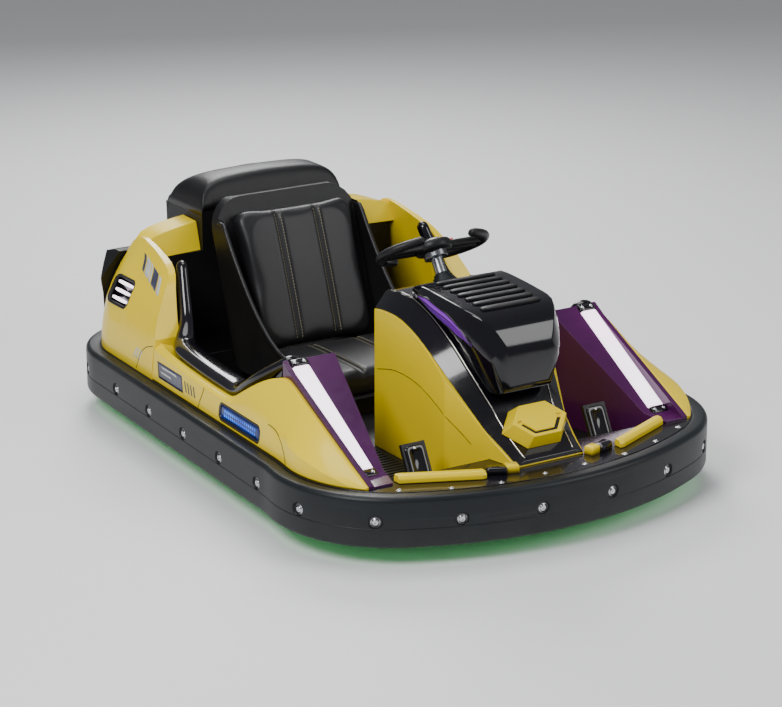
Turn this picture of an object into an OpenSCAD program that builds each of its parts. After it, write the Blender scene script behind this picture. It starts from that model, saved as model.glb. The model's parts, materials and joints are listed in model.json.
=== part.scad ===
// Battery bumper car with a rubber ring bumper, a steered drive wheel in front and two swivel casters behind.
// Millimetres. +X forward, +Y to the driver's left, +Z up, origin on the floor under the middle of the car.

/* [Overall] */
// Length over the rubber bumper
car_length = 1740; // [1680:10:1800]
// Width over the rubber bumper
car_width = 1230; // [1200:10:1260]
// Height of the body above the bumper
body_h = 460; // [440:5:475]
// Radius of the bowed front, seen from above
bow_r = 980; // [940:10:1100]
// Radius of the front corners
front_corner_r = 320; // [300:5:330]
// Radius of the rear corners
rear_corner_r = 250; // [235:5:265]
// Angle at which the sides draw in behind the front corners
waist_angle = 10; // [9:1:12]
// Radius of the waist behind the front corners
waist_r = 500; // [400:10:600]
// Angle at which the sides close towards the rear
side_taper = 2.5; // [2:0.5:3]

/* [Bumper] */
// Height of the bumper's lower edge above the floor
bumper_z = 50; // [44:1:54]
// Height of the rubber band
bumper_h = 130; // [126:1:140]
// Thickness of the rubber band
bumper_t = 40; // [36:1:42]
// Radius of the band's edges
bumper_edge = 14; // [8:1:18]
// Thickness of the steel rail behind the rubber
rail_t = 5; // [3:0.5:6]

/* [Frame and floor] */
// Height of the perimeter tubes
tube_h = 42; // [38:1:46]
// Width of the perimeter tubes
tube_w = 36; // [32:1:38]
// Height of the underside of the keel rails
keel_z = 55; // [53:1:58]
// Height of the keel rails
keel_h = 30; // [26:1:32]
// Width of the keel rails
keel_w = 36; // [30:1:40]
// Thickness of the floor pan
pan_t = 3; // [2:0.5:4]
// Thickness of the deck plate
deck_t = 4; // [3:0.5:6]

/* [Body] */
// Distance of the side panels from the bumper's outer face
panel_inset = 44; // [43:1:48]
// Width of the light bars
bar_w = 50; // [40:1:52]
// Half width of the centre console at its foot
console_half_w = 165; // [163:1:168]

/* [Seat] */
// Width of the seat between its wings
seat_w = 430; // [400:5:440]
// Height of the seat cushion's underside
seat_z = 150; // [140:1:160]
// Height of the backrest
back_h = 440; // [420:5:450]
// Lean of the backrest from the vertical
back_lean = 20; // [16:1:20]
// Thickness of the seat shell
shell_t = 10; // [8:1:12]

/* [Steering] */
// Lean of the steering column from the vertical
column_lean = 34; // [33:1:36]
// Diameter of the steering column
column_d = 30; // [26:1:32]
// Span of the steering yoke
yoke_w = 330; // [310:5:340]
// Thickness of the yoke
yoke_t = 26; // [22:1:30]

/* [Drive wheel] */
// Diameter of the drive tyre
drive_d = 250; // [240:2:254]
// Width of the drive tyre
drive_w = 76; // [66:1:78]
// Diameter of the hub motor
motor_d = 150; // [130:2:160]
// Diameter of the drive axle
axle_d = 20; // [16:1:24]

/* [Casters] */
// Diameter of the caster wheels
caster_d = 100; // [90:1:100]
// Width of the caster wheels
caster_w = 32; // [26:1:36]
// Trail of the caster wheels behind their swivels
caster_trail = 38; // [30:1:40]

/* [Hidden] */
$fn = 48;

// Clearances: at rest between pieces, in bearings, and round what moves
seat_gap = 0.3;
run_gap = 0.05;
swing_gap = 8;
over = 1;

// Levels
bumper_top = bumper_z + bumper_h;
deck_z = bumper_top - deck_t;
frame_z = deck_z - tube_h;
pan_z = keel_z + keel_h;
floor_z = pan_z + pan_t;
body_z = bumper_top + seat_gap;

// The body's stations are written for a car of 1740 by 1230 mm with its deck at 180 mm, and follow the real size
x_scale = car_length / 1740;
y_scale = car_width / 1230;
z_scale = body_h / 460;
function sx(x) = x * x_scale;
function sy(y) = y * y_scale;
function sz(z) = bumper_top + (z - 180) * z_scale;
function xz(list) = [for (p = list) [sx(p.x), sz(p.y)]];

// Cockpit opening in the deck, from behind the seat to the feet
cockpit_front = sx(655);
cockpit_rear = sx(-460);
cockpit_half_w = sy(440);

// Side pods and fenders
pod_inner = sy(480);
fender_front_x = sx(-341);

// Seat
seat_front_x = sx(10);
seat_rear_x = sx(-385);
seat_half_w = seat_w / 2;
cushion_t = 70;

// Steering
yoke_pos = [sx(220), 0, sz(598)];
column_l = 175;
column_tube_l = 62;

// Drive wheel fork
drive_x = sx(430);
axle_z = drive_d / 2;
hub_half_w = drive_w / 2 + 4;
leg_t = 10;
leg_y = hub_half_w + 5;
crown_z = drive_d + 10;
crown_t = 14;
stem_d = 40;
head_z = crown_z + crown_t + 5;
head_plate_t = 8;
head_tube_d = 70;
head_tube_h = 52;
wheel_well_r = sqrt(pow(drive_d / 2, 2) + pow(drive_w / 2, 2)) + swing_gap;
arch_y = console_half_w - 15;
arch_t = 6;
arch_half_l = 50;

// Casters
caster_pos = [sx(-560), sy(330)];
caster_crown_z = caster_d + 10;
caster_crown_t = 8;
bearing_h = 12;
bearing_d = 56;
caster_plate_z = caster_crown_z + caster_crown_t + bearing_h;
caster_plate_t = 6;
cradle_l = 90;
cradle_tube_w = 30;
kingpin_d = 16;
caster_axle_d = 12;

// Battery
battery_size = [sx(150), sy(400), 190 * z_scale];

// Points of an arc from angle a0 to angle a1
function arc(c, r, a0, a1, steps) =
    [for (i = [0:steps]) let (a = a0 + (a1 - a0) * i / steps) c + r * [cos(a), sin(a)]];

// Centres of the arcs that make the bumper's outline, for the left half
corner_y = car_width / 2 - front_corner_r;
bow_angle = asin(corner_y / (bow_r - front_corner_r));
bow_c = [car_length / 2 - bow_r, 0];
corner_c = bow_c + (bow_r - front_corner_r) * [cos(bow_angle), sin(bow_angle)];
waist_c = corner_c + (front_corner_r + waist_r) * [cos(90 + waist_angle), sin(90 + waist_angle)];
side_n = [-sin(side_taper), cos(side_taper)];
side_d = side_n * waist_c - waist_r;
rear_c_x = rear_corner_r - car_length / 2;
rear_c = [rear_c_x, (side_d - rear_corner_r + sin(side_taper) * rear_c_x) / cos(side_taper)];

// Left half of the outline, drawn in by inset, from the bow to the rear
function half_outline(inset) = concat(
    arc(bow_c, bow_r - inset, 0, bow_angle, 8),
    arc(corner_c, front_corner_r - inset, bow_angle + 6, 90 + waist_angle, 12),
    arc(waist_c, waist_r + inset, 267 + waist_angle, 270 + side_taper, 3),
    arc(rear_c, rear_corner_r - inset, 90 + side_taper, 180, 12));

function reversed(list) = [for (i = [len(list) - 1:-1:0]) list[i]];
function mirrored(list) = [for (p = list) [p.x, -p.y]];
function outline(inset) =
    let (half = half_outline(inset))
    concat(half, [for (p = mirrored(reversed(half))) if (p.y < 0) p]);

// Half width of the outline at x, drawn in by inset, from the front corner to the rear corner
function root(v) = sqrt(max(v, 0));
function side_y(x, inset) =
    x > corner_c.x + (front_corner_r - inset) * cos(90 + waist_angle)
        ? corner_c.y + root(pow(front_corner_r - inset, 2) - pow(x - corner_c.x, 2))
    : x > waist_c.x + (waist_r + inset) * cos(270 + side_taper)
        ? waist_c.y - root(pow(waist_r + inset, 2) - pow(x - waist_c.x, 2))
    : x > rear_c.x + (rear_corner_r - inset) * cos(90 + side_taper)
        ? (side_d - inset + sin(side_taper) * x) / cos(side_taper)
    : rear_c.y + root(pow(rear_corner_r - inset, 2) - pow(x - rear_c.x, 2));

module plan(inset) polygon(outline(inset));

module plate(inset, z, t) translate([0, 0, z]) linear_extrude(t) plan(inset);

// Band that follows the outline, between two insets
module ring(inset_out, inset_in, z, h)
    translate([0, 0, z]) linear_extrude(h) difference() {
        plan(inset_out);
        plan(inset_in);
    }

// Profile in the XZ plane, extruded across from y0 to y1
module across(points, y0, y1)
    translate([0, y1, 0]) rotate([90, 0, 0]) linear_extrude(y1 - y0) polygon(points);

// Profile in the YZ plane, extruded forward from x0 to x1
module along(points, x0, x1)
    translate([x0, 0, 0]) rotate([90, 0, 90]) linear_extrude(x1 - x0) polygon(points);

module block(x0, x1, y0, y1, z0, z1)
    translate([x0, y0, z0]) cube([x1 - x0, y1 - y0, z1 - z0]);

module rounded(w, h, r) {
    square([w - 2 * r, h], center = true);
    square([w, h - 2 * r], center = true);
    for (x = [-1, 1])
        for (y = [-1, 1])
            translate([x * (w / 2 - r), y * (h / 2 - r)]) circle(r);
}

module both_sides() {
    children();
    mirror([0, 1, 0]) children();
}

// Right-hand pieces are drawn on the left and mirrored
module right_side() mirror([0, 1, 0]) children();

// Smooth curve through rows of numbers or points, with n steps from each row to the next
function between(a, b, c, d, t) =
    0.5 * (2 * b + (c - a) * t + (2 * a - 5 * b + 4 * c - d) * t * t + (3 * b - a - 3 * c + d) * t * t * t);
function smooth(rows, n) = concat(
    [for (i = [0:len(rows) - 2])
        for (k = [0:n - 1])
            between(rows[max(i - 1, 0)], rows[i], rows[i + 1], rows[min(i + 2, len(rows) - 1)], k / n)],
    [rows[len(rows) - 1]]);

// Closed skin over sections that have the same number of points and go round the same way
module skin(sections) {
    n = len(sections[0]);
    last = (len(sections) - 1) * n;
    polyhedron([for (s = sections) for (p = s) p], concat(
        [[for (k = [n - 1:-1:0]) k]],
        [[for (k = [0:n - 1]) last + k]],
        [for (i = [0:len(sections) - 2])
            for (k = [0:n - 1])
                let (a = i * n + k, b = i * n + (k + 1) % n)
                for (face = [[a, b, b + n], [a, b + n, a + n]]) face]));
}

// Bar with an oval section that follows a path of points; its half width may differ at each point
function unit(v) = v / norm(v);
function tangent(path, i) =
    unit(path[min(i + 1, len(path) - 1)] - path[max(i - 1, 0)]);

module swept_bar(path, up, side, sides)
    skin([for (i = [0:len(path) - 1])
        let (t = tangent(path, i), u = unit(cross(t, [0, 1, 0])), v = cross(u, t))
        [for (k = [0:sides - 1])
            path[i] + up * cos(360 * k / sides) * u + side[i] * sin(360 * k / sides) * v]]);

// Bumper
module bumper_ring() {
    // inset from the outline and height, round the section of the rubber band
    e = bumper_edge;
    section = concat(
        arc([e, bumper_z + e], e, 270, 180, 3),
        arc([e, bumper_top - e], e, 180, 90, 3),
        [[bumper_t, bumper_top], [bumper_t, bumper_z]]);
    n = len(outline(0));
    m = len(section);
    color("#24262a") polyhedron(
        [for (s = section) for (p = outline(s.x)) [p.x, p.y, s.y]],
        [for (j = [0:m - 1])
            for (i = [0:n - 1])
                let (a = j * n, b = ((j + 1) % m) * n, k = (i + 1) % n) [a + i, b + i, b + k, a + k]]);
}

rail_rise = 14;
bracket_x = [sx(-420), sx(-60), sx(300)];
bracket_w = 30;
module bumper_rail() color("#3a3c40") union() {
    ring(bumper_t + seat_gap, bumper_t + seat_gap + rail_t, bumper_z + rail_rise, bumper_h - rail_rise - deck_t - seat_gap);
    // Brackets from the rail to the perimeter tubes
    for (x = bracket_x)
        both_sides()
            block(x, x + bracket_w, cockpit_half_w + tube_w + seat_gap, side_y(x, bumper_t + rail_t / 2),
                  frame_z + 6, frame_z + 36);
}

module underglow_strip() color("#7dff8e")
    ring(bumper_t + rail_t + 1, bumper_t + rail_t + 13, bumper_z + rail_rise, 10);

// Chassis
frame_rear_x = sx(-720);
skid_x = [sx(-300), sx(100)];
skid_y = arch_y - 1 + keel_w / 2;
skid_hole_r = 5.5;

module keel_rails()
    both_sides() difference() {
        block(cockpit_rear - tube_w, cockpit_front, arch_y - 1, arch_y - 1 + keel_w, keel_z, pan_z);
        for (x = skid_x)
            translate([x, skid_y, keel_z - over]) cylinder(h = keel_h + 2 * over, r = skid_hole_r);
    }

module steering_head() {
    both_sides()
        block(drive_x - arch_half_l, drive_x + arch_half_l, arch_y, arch_y + arch_t, pan_z - over, head_z + over);
    difference() {
        union() {
            block(drive_x - arch_half_l, drive_x + arch_half_l, -arch_y - arch_t, arch_y + arch_t,
                  head_z, head_z + head_plate_t);
            translate([drive_x, 0, head_z]) cylinder(h = head_tube_h, d = head_tube_d);
        }
        translate([drive_x, 0, head_z - over]) cylinder(h = head_tube_h + 2 * over, d = stem_d + 2 * run_gap);
    }
}

module cross_tube(x, w)
    block(x, x + w, -cockpit_half_w - over, cockpit_half_w + over, frame_z, deck_z);

module perimeter_frame() {
    // Side tubes and cross tubes under the deck, with their corners cut to the bumper's rail
    intersection() {
        union() {
            both_sides()
                block(frame_rear_x, cockpit_front + tube_w, cockpit_half_w, cockpit_half_w + tube_w, frame_z, deck_z);
            for (x = [frame_rear_x, cockpit_rear - tube_w, cockpit_front])
                cross_tube(x, tube_w);
            cross_tube(caster_pos.x - cradle_l / 2 - cradle_tube_w, cradle_tube_w + over);
            cross_tube(caster_pos.x + cradle_l / 2 - over, cradle_tube_w + over);
        }
        plate(bumper_t + rail_t + 4, frame_z, tube_h);
    }
    // Hangers down to the keel rails
    for (x = [cockpit_rear - tube_w, cockpit_front])
        both_sides() block(x, x + tube_w, arch_y - 1, arch_y - 1 + keel_w, keel_z, frame_z + over);
}

// Cradle that carries one caster swivel between the two cross tubes
module caster_cradle() translate([caster_pos.x, caster_pos.y, 0]) difference() {
    cheek = 8;
    union() {
        block(-cradle_l / 2, cradle_l / 2, -cradle_l / 2, cradle_l / 2, caster_plate_z, caster_plate_z + caster_plate_t);
        for (x = [-cradle_l / 2, cradle_l / 2 - cheek])
            block(x, x + cheek, -cradle_l / 2, cradle_l / 2, caster_plate_z, deck_z);
    }
    translate([0, 0, caster_plate_z - over])
        cylinder(h = caster_plate_t + 2 * over, d = kingpin_d + 2 * run_gap);
}

module chassis_frame() color("#1c1d20") {
    perimeter_frame();
    keel_rails();
    steering_head();
    both_sides() caster_cradle();
}

// Opening in the pan and the console for the wheel and the steering head
module wheel_well(h) {
    translate([drive_x, 0, pan_z - over]) cylinder(h = h, r = wheel_well_r);
    block(drive_x - arch_half_l - seat_gap, drive_x + arch_half_l + seat_gap,
          -arch_y - arch_t - seat_gap, arch_y + arch_t + seat_gap, pan_z - over, pan_z - over + h);
}

module floor_pan() color("#202226") difference() {
    block(cockpit_rear + seat_gap, cockpit_front - seat_gap, -cockpit_half_w + seat_gap, cockpit_half_w - seat_gap,
          pan_z, bumper_top);
    block(cockpit_rear + pan_t, cockpit_front - pan_t, -cockpit_half_w + pan_t, cockpit_half_w - pan_t,
          floor_z, bumper_top + over);
    wheel_well(pan_t + 2 * over);
}

module deck_plate() color("#141519") difference() {
    plate(bumper_t + seat_gap, deck_z, deck_t);
    block(cockpit_rear, cockpit_front, -cockpit_half_w, cockpit_half_w, deck_z - over, bumper_top + over);
}

// Side pod and sill in one moulding. Each row gives x, the inner edge's y and z, the crest's y and z, and the
// height of the crease between the upper and the lower facet
pod_rows = [
    [-340, 462, 264, 498, 277, 264], [-300, 477, 255, 502, 270, 260], [-250, 480, 250, 505, 265, 256],
    [-120, 480, 243, 512, 257, 249], [40, 480, 238, 519, 252, 244], [95, 480, 243, 522, 257, 246],
    [140, 480, 268, 523, 280, 249], [190, 480, 299, 519, 310, 248], [232, 480, 331, 507, 334, 247],
    [275, 480, 349, 497, 350, 245], [318, 480, 352, 490, 354, 243], [400, 480, 315, 490, 317, 238],
    [500, 480, 268, 490, 270, 226], [600, 480, 221, 489, 223, 203], [640, 480, 203, 487, 204, 190],
    [676, 480, 186, 483, 187, 183]];
crease_out = 7;
facet_bulge = 6;

function pod_section(r) =
    let (x = sx(r[0]), base = max(side_y(x, panel_inset), sy(r[3]) + 2), crest = [sy(r[3]), sz(r[4])],
         crease = [base - crease_out * (r[5] - 180) / 66, sz(r[5])], run = crest - crease)
    [[x, sy(r[1]), sz(r[2])],
     [x, crest.x, crest.y],
     [x, crest.x + 4, crest.y - 3],
     for (t = [0.67, 0.33]) [x, crease.x + t * run.x + facet_bulge * norm(run) / 120, crease.y + t * run.y],
     [x, crease.x, crease.y],
     [x, base, body_z + 4],
     [x, base - 3, body_z],
     [x, sy(r[1]), body_z]];

// Pocket for the side lamp, in the lower facet
lamp_size = [sx(230), 50 * z_scale];
lamp_pos = [sx(170), sz(212)];
module lamp_pocket(depth)
    translate([lamp_pos.x, side_y(lamp_pos.x, panel_inset) - crease_out / 2, lamp_pos.y])
        rotate([-84, 0, side_taper]) translate([0, 0, -depth]) linear_extrude(depth + 30)
            rounded(lamp_size.x, lamp_size.y, 18);

module side_pod() color("#f2dc3c") difference() {
    skin([for (r = smooth(pod_rows, 3)) pod_section(r)]);
    lamp_pocket(9);
}

// Rolled rim of the cockpit, from the light channel down to the sill and up the fender's front edge,
// with the half width of the roll at each point
trim_path = [
    [-420, 388, 452, 16], [-385, 401, 388, 17], [-345, 417, 322, 19], [-300, 446, 284, 28], [-250, 466, 276, 34],
    [-120, 474, 268, 36], [0, 478, 263, 36], [82, 480, 264, 36], [140, 481, 298, 36], [190, 478, 330, 36],
    [232, 459, 359, 34], [262, 447, 379, 30]];
trim_up = 18;
wall_in = cockpit_half_w - pan_t - seat_gap - 7;

function trim_wall(p) =
    let (x = sx(p[0]), y = sy(476), top = sz(p[2]) - 2)
    [[x, wall_in, top - 14], [x, wall_in + 16, top], [x, y, top], [x, y, body_z],
     [x, cockpit_half_w - pan_t - seat_gap, body_z], [x, cockpit_half_w - pan_t - seat_gap, floor_z + seat_gap],
     [x, wall_in, floor_z + seat_gap]];

module cockpit_trim() color("#101114") union() {
    points = smooth(trim_path, 2);
    swept_bar([for (p = points) [sx(p[0]), sy(p[1]), sz(p[2])]], trim_up, [for (p = points) p[3]], 14);
    // Inner wall of the cockpit under the rim
    skin([for (p = points) if (p[0] > -290) trim_wall(p)]);
}

// Light bars and the channels that hold them
bar_top = [sx(275), sz(390)];
bar_foot = [sx(608), sz(190)];
bar_slope = atan2(bar_top.y - bar_foot.y, bar_foot.x - bar_top.x);
bar_start = 26;
bar_length = norm(bar_foot - bar_top) - bar_start - 14;
bar_depth = 16;
bar_y = sy(441);
channel_mid = bar_y + bar_w / 2;

module on_bar_slope()
    translate([bar_top.x, bar_y, bar_top.y]) rotate([0, bar_slope, 0]) translate([bar_start, 0, -bar_depth]) children();

module channel_body() difference() {
    intersection() {
        union() {
            across(concat([[bar_top.x, floor_z + seat_gap], bar_top, bar_foot],
                          xz([[650, 187], [676, 185]]), [[sx(676), floor_z + seat_gap]]), sy(320), channel_mid);
            // Outer rail, up to the crest of the side pod
            across(xz([[276, 150], [276, 392], [318, 366], [655, 199], [676, 188], [676, 150]]),
                   channel_mid - over, pod_inner - seat_gap);
        }
        // Narrower towards the foot
        translate([0, 0, floor_z]) linear_extrude(sz(400) - floor_z)
            polygon([[sx(276), sy(330)], [sx(276), pod_inner], [sx(676), pod_inner], [sx(676), sy(412)],
                     [sx(640), sy(400)]]);
    }
    // Clear of the deck and the pan
    block(sx(200), sx(700), cockpit_half_w - pan_t - seat_gap, sy(500), floor_z, body_z);
    block(cockpit_front - pan_t - seat_gap, sx(700), sy(300), sy(500), floor_z, body_z);
}

module light_channel() color("#30203c") difference() {
    channel_body();
    on_bar_slope() translate([0, -bar_w / 2, 0]) cube([bar_length, bar_w, 60]);
}

module light_bar() color("#fff4fb")
    on_bar_slope() translate([seat_gap, 0, seat_gap]) rotate([90, 0, 90])
        linear_extrude(bar_length - 2 * seat_gap) polygon([
            [-bar_w / 2 + seat_gap, 0], [bar_w / 2 - seat_gap, 0], [bar_w / 2 - seat_gap, bar_depth],
            [bar_w / 2 - 6, bar_depth + 6], [-bar_w / 2 + 6, bar_depth + 6], [-bar_w / 2 + seat_gap, bar_depth]]);

// Centre console. Each row gives x, the height of the flank's upper edge, the band's half width at its foot,
// the band's height and its half width on top
console_rows = smooth([
    [200, 457, 163, 42, 130], [250, 462, 163, 46, 130], [320, 458, 163, 47, 128], [400, 432, 163, 47, 126],
    [480, 388, 161, 45, 122], [545, 335, 149, 40, 112], [615, 268, 127, 32, 94], [640, 246, 120, 27, 90],
    [690, 213, 106, 18, 84], [744, 184, 99, 10, 76]], 3);
console_rear_x = console_rows[0][0];
console_front_x = console_rows[len(console_rows) - 1][0];

module console_shell() color("#f2dc3c") difference() {
    intersection() {
        across(concat([[sx(console_rear_x), floor_z + seat_gap]], [for (r = console_rows) [sx(r[0]), sz(r[1])]],
                      [[sx(console_front_x), floor_z + seat_gap]]), -console_half_w - over, console_half_w + over);
        translate([0, 0, floor_z]) linear_extrude(sz(500) - floor_z)
            polygon([[sx(190), console_half_w], [sx(524), console_half_w], [sx(637), sy(122)], [sx(750), sy(99)],
                     [sx(750), -sy(99)], [sx(637), -sy(122)], [sx(524), -console_half_w], [sx(190), -console_half_w]]);
    }
    block(cockpit_front - pan_t - seat_gap, sx(760), -console_half_w, console_half_w, floor_z, body_z);
    wheel_well(head_z - pan_z + over);
    block(drive_x - arch_half_l - seat_gap, drive_x + arch_half_l + seat_gap,
          -arch_y - arch_t - seat_gap, arch_y + arch_t + seat_gap, pan_z, head_z + head_plate_t + over);
    translate([drive_x, 0, pan_z]) cylinder(h = head_z + head_tube_h + 3 - pan_z, d = head_tube_d + 4);
    on_column() translate([0, 0, -column_l - 3]) cylinder(h = column_l, d = column_d + 16 + 2 * seat_gap);
}

module console_band() color("#111216") difference() {
    skin([for (r = console_rows)
        let (x = sx(r[0]), low = sz(r[1]) + seat_gap, high = low + r[3])
        [[x, -sy(r[4]), high], [x, sy(r[4]), high], [x, sy(r[2]), low + 2], [x, sy(r[2]) - 2, low],
         [x, -sy(r[2]) + 2, low], [x, -sy(r[2]), low + 2]]]);
    on_column() translate([0, 0, -column_l]) cylinder(h = column_l, d = column_d + 20);
}

// Housing over the steering head, seated on the band. Each row gives x, then half width and height of its foot,
// its waist and its top
housing_rows = smooth([
    [312, 112, 430, 124, 522, 112, 533], [340, 114, 430, 134, 530, 126, 549], [420, 112, 430, 148, 520, 128, 547],
    [500, 104, 410, 146, 504, 128, 541], [560, 94, 350, 138, 480, 126, 535], [600, 86, 330, 124, 450, 108, 522],
    [630, 78, 332, 106, 424, 86, 492], [648, 66, 342, 86, 404, 68, 456], [656, 50, 362, 64, 400, 48, 428]], 2);
band_line = [for (r = console_rows) [r[0], r[1] + r[3]]];
housing_x = concat([312], [for (r = console_rows) if (r[0] > 313 && r[0] < 640) r[0]], [640, 648, 656]);
function housing(x, column) = lookup(x, [for (r = housing_rows) [r[0], r[column]]]);
function point_at(x, column) = [sy(housing(x, column)), sz(housing(x, column + 1))];

module front_housing() color("#0e0f12")
    skin([for (s = housing_x)
        let (x = sx(s), low = point_at(s, 1), waist = point_at(s, 3), top = point_at(s, 5),
             foot = [low.x, max(low.y, sz(lookup(s, band_line)) + 2 * seat_gap)],
             shoulder = 0.6 * waist + 0.4 * top + [4, 2])
        [[x, -top.x, top.y], [x, top.x, top.y], [x, shoulder.x, shoulder.y], [x, waist.x, waist.y],
         [x, foot.x, foot.y], [x, -foot.x, foot.y], [x, -waist.x, waist.y], [x, -shoulder.x, shoulder.y]]]);

// Six-sided cap on the console's nose, with a groove round its front half
nose_slope = 39.2;
nose_r = sy(98);
nose_squeeze = 0.66;
nose_h = 38;
nose_x = sx(674);
nose_reach = nose_r * cos(30) * nose_squeeze * cos(nose_slope);
// Lowest level at which the cap's flat base clears the band's top
nose_z = max([for (i = [0:40])
    let (x = nose_x + nose_reach * (i / 20 - 1))
    sz(lookup(x / x_scale, band_line)) + (x - nose_x) * tan(nose_slope)]) + seat_gap;
module nose_cap() color("#f2dc3c")
    translate([nose_x, 0, nose_z]) rotate([0, nose_slope, 0]) scale([nose_squeeze, 1, 1]) difference() {
        rotate([0, 0, 30]) cylinder(h = nose_h, r1 = nose_r, r2 = nose_r - 18, $fn = 6);
        translate([0, 0, nose_h - 6]) rotate([0, 0, 30]) difference() {
            cylinder(h = 10, r = nose_r - 32, $fn = 6);
            translate([0, 0, -over]) cylinder(h = 12, r = nose_r - 44, $fn = 6);
            rotate([0, 0, -30]) translate([-nose_r - 8, -nose_r, -over]) cube([nose_r, 2 * nose_r, 12]);
        }
    }

// Strip along the front of the foot well, from the pod's foot to the console's nose
module front_lip() color("#f2dc3c") hull() {
    for (p = [[sx(668), sy(392)], [sx(750), sy(206)]])
        translate([p.x, p.y, body_z]) {
            translate([-12, -6, 0]) cube([26, 12, 12]);
            translate([-8, -6, 0]) cube([14, 12, 20]);
        }
}

// Pedal plate on its bracket, ribbed across
module pedal(y) color("#15161a") translate([sx(588), y, floor_z + seat_gap]) {
    translate([-6, -28, 0]) cube([44, 56, 8]);
    translate([6, -8, 7]) cube([12, 16, 44]);
    translate([6, 0, 40]) rotate([0, -28, 0]) {
        translate([-5, -34, 0]) cube([10, 68, 104]);
        for (z = [14:18:86])
            translate([-9, -30, z]) cube([5, 60, 8]);
    }
}

// Steering
module on_column() translate(yoke_pos) rotate([0, -column_lean, 0]) children();

module column_tube() color("#2b2d31") on_column() difference() {
    translate([0, 0, -column_l]) cylinder(h = column_tube_l, d = column_d + 16);
    translate([0, 0, -column_l - over]) cylinder(h = column_tube_l + 2 * over, d = column_d + 2 * run_gap);
}

module steering_column() color("#53565c") on_column() {
    translate([0, 0, -column_l]) cylinder(h = column_l - yoke_t / 2 - seat_gap, d = column_d);
    translate([0, 0, -yoke_t / 2 - 16]) cylinder(h = 16 - seat_gap, d = 62);
}

// Butterfly yoke: two curved grips joined by a broad centre with two openings
grip_w = 34;
function oval(r, a0, a1, steps) =
    [for (i = [0:steps]) let (a = a0 + (a1 - a0) * i / steps) [0.62 * r * sin(a), r * cos(a)]];

module yoke_shape() difference() {
    union() {
        circle(d = 100);
        square([46, yoke_w - grip_w], center = true);
        for (s = [-1, 1])
            scale([1, s]) polygon(concat(oval(yoke_w / 2, -58, 58, 16), oval(yoke_w / 2 - grip_w, 58, -58, 16)));
    }
    for (s = [-1, 1])
        translate([0, s * 78]) circle(d = 18);
}

module steering_yoke() color("#17181b") on_column()
    translate([0, 0, -yoke_t / 2]) linear_extrude(yoke_t) yoke_shape();

// Seat: a bucket whose wings sweep up to the shoulders
function lean(h) = h * tan(back_lean);
wing_line = smooth([
    [seat_front_x + 12, seat_z + 20], [seat_front_x - 40, seat_z + 62], [seat_rear_x + 190, seat_z + 92],
    [seat_rear_x + 70, seat_z + 170], [seat_rear_x - lean(290) + 66, seat_z + 290],
    [seat_rear_x - lean(380) + 34, seat_z + 380], [seat_rear_x - lean(back_h) + 2, seat_z + back_h]], 3);

module seat_shell() color("#15161a") difference() {
    union() {
        intersection() {
            across(concat([[seat_front_x, seat_z - 14]], wing_line,
                          [[seat_rear_x - lean(back_h) - 32, seat_z + back_h - 6], [seat_rear_x - 38, seat_z - 6],
                           [seat_rear_x - 24, seat_z - 14]]), -seat_half_w - shell_t, seat_half_w + shell_t);
            // Rounded shoulders
            along(concat([[-seat_half_w - shell_t, floor_z]],
                         arc([-seat_half_w + 80, seat_z + back_h - 90], 90, 180, 90, 6),
                         arc([seat_half_w - 80, seat_z + back_h - 90], 90, 90, 0, 6),
                         [[seat_half_w + shell_t, floor_z]]), sx(-700), sx(100));
        }
        block(seat_rear_x, seat_front_x - 30, -seat_half_w + 30, seat_half_w - 30, floor_z + seat_gap, seat_z);
    }
    // Hollow between the wings
    across([[seat_front_x + 40, seat_z], [seat_rear_x, seat_z], [seat_rear_x - lean(back_h + 60), seat_z + back_h + 60],
            [seat_front_x + 40, seat_z + back_h + 60]], -seat_half_w, seat_half_w);
}

module seat_cushion() color("#2a2b30")
    block(seat_rear_x + cushion_t + 6, seat_front_x + 4, -seat_half_w + 4, seat_half_w - 4,
          seat_z + seat_gap, seat_z + cushion_t);

module back_cushion() color("#2a2b30")
    translate([seat_rear_x, 0, seat_z]) rotate([0, -back_lean, 0])
        block(seat_gap, cushion_t - 10, -seat_half_w + 24, seat_half_w - 24, 20, back_h - 10);

// Rear fender. Each row gives x, the height of its top and the inner edge's y there
fender_rows = [
    [-341, 288, 441], [-362, 335, 436], [-390, 402, 424], [-412, 438, 412], [-450, 458, 402], [-520, 477, 396],
    [-600, 492, 392], [-645, 488, 392], [-690, 458, 396], [-708, 433, 400], [-730, 375, 412], [-750, 311, 424],
    [-762, 196, 438]];
// Inward curve of the flank, against the height above the deck
flank_curve = [[0, 0], [40, 2], [80, 8], [130, 20], [170, 38], [215, 64], [258, 93], [290, 106], [312, 112]];

function fender_section(r) =
    let (x = sx(r[0]), base = side_y(x, panel_inset), h = r[1] - 180)
    [[x, sy(r[2]), sz(r[1])],
     for (t = [1, 0.86, 0.72, 0.58, 0.44, 0.3, 0.15])
         [x, base - sy(lookup(t * h, flank_curve)), sz(180 + t * h)],
     [x, base, body_z],
     [x, sy(441), body_z]];

// Painted shoulder behind the seat, one section in the XZ plane at each y
shoulder_rows = [
    [228, -612, -634, 510, -710, 512, -742], [300, -604, -624, 502, -706, 503, -738],
    [370, -596, -608, 492, -698, 486, -728], [406, -594, -602, 474, -688, 444, -712]];
shoulder_z = 433;

module shoulder()
    skin([for (r = smooth(shoulder_rows, 2))
        let (y = sy(r[0]), z0 = sz(shoulder_z))
        [[sx(r[2]), y, sz(r[3])], [sx(r[4]), y, sz(r[5])], [sx(r[6]), y, z0], [sx(r[1]), y, z0]]]);

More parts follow.
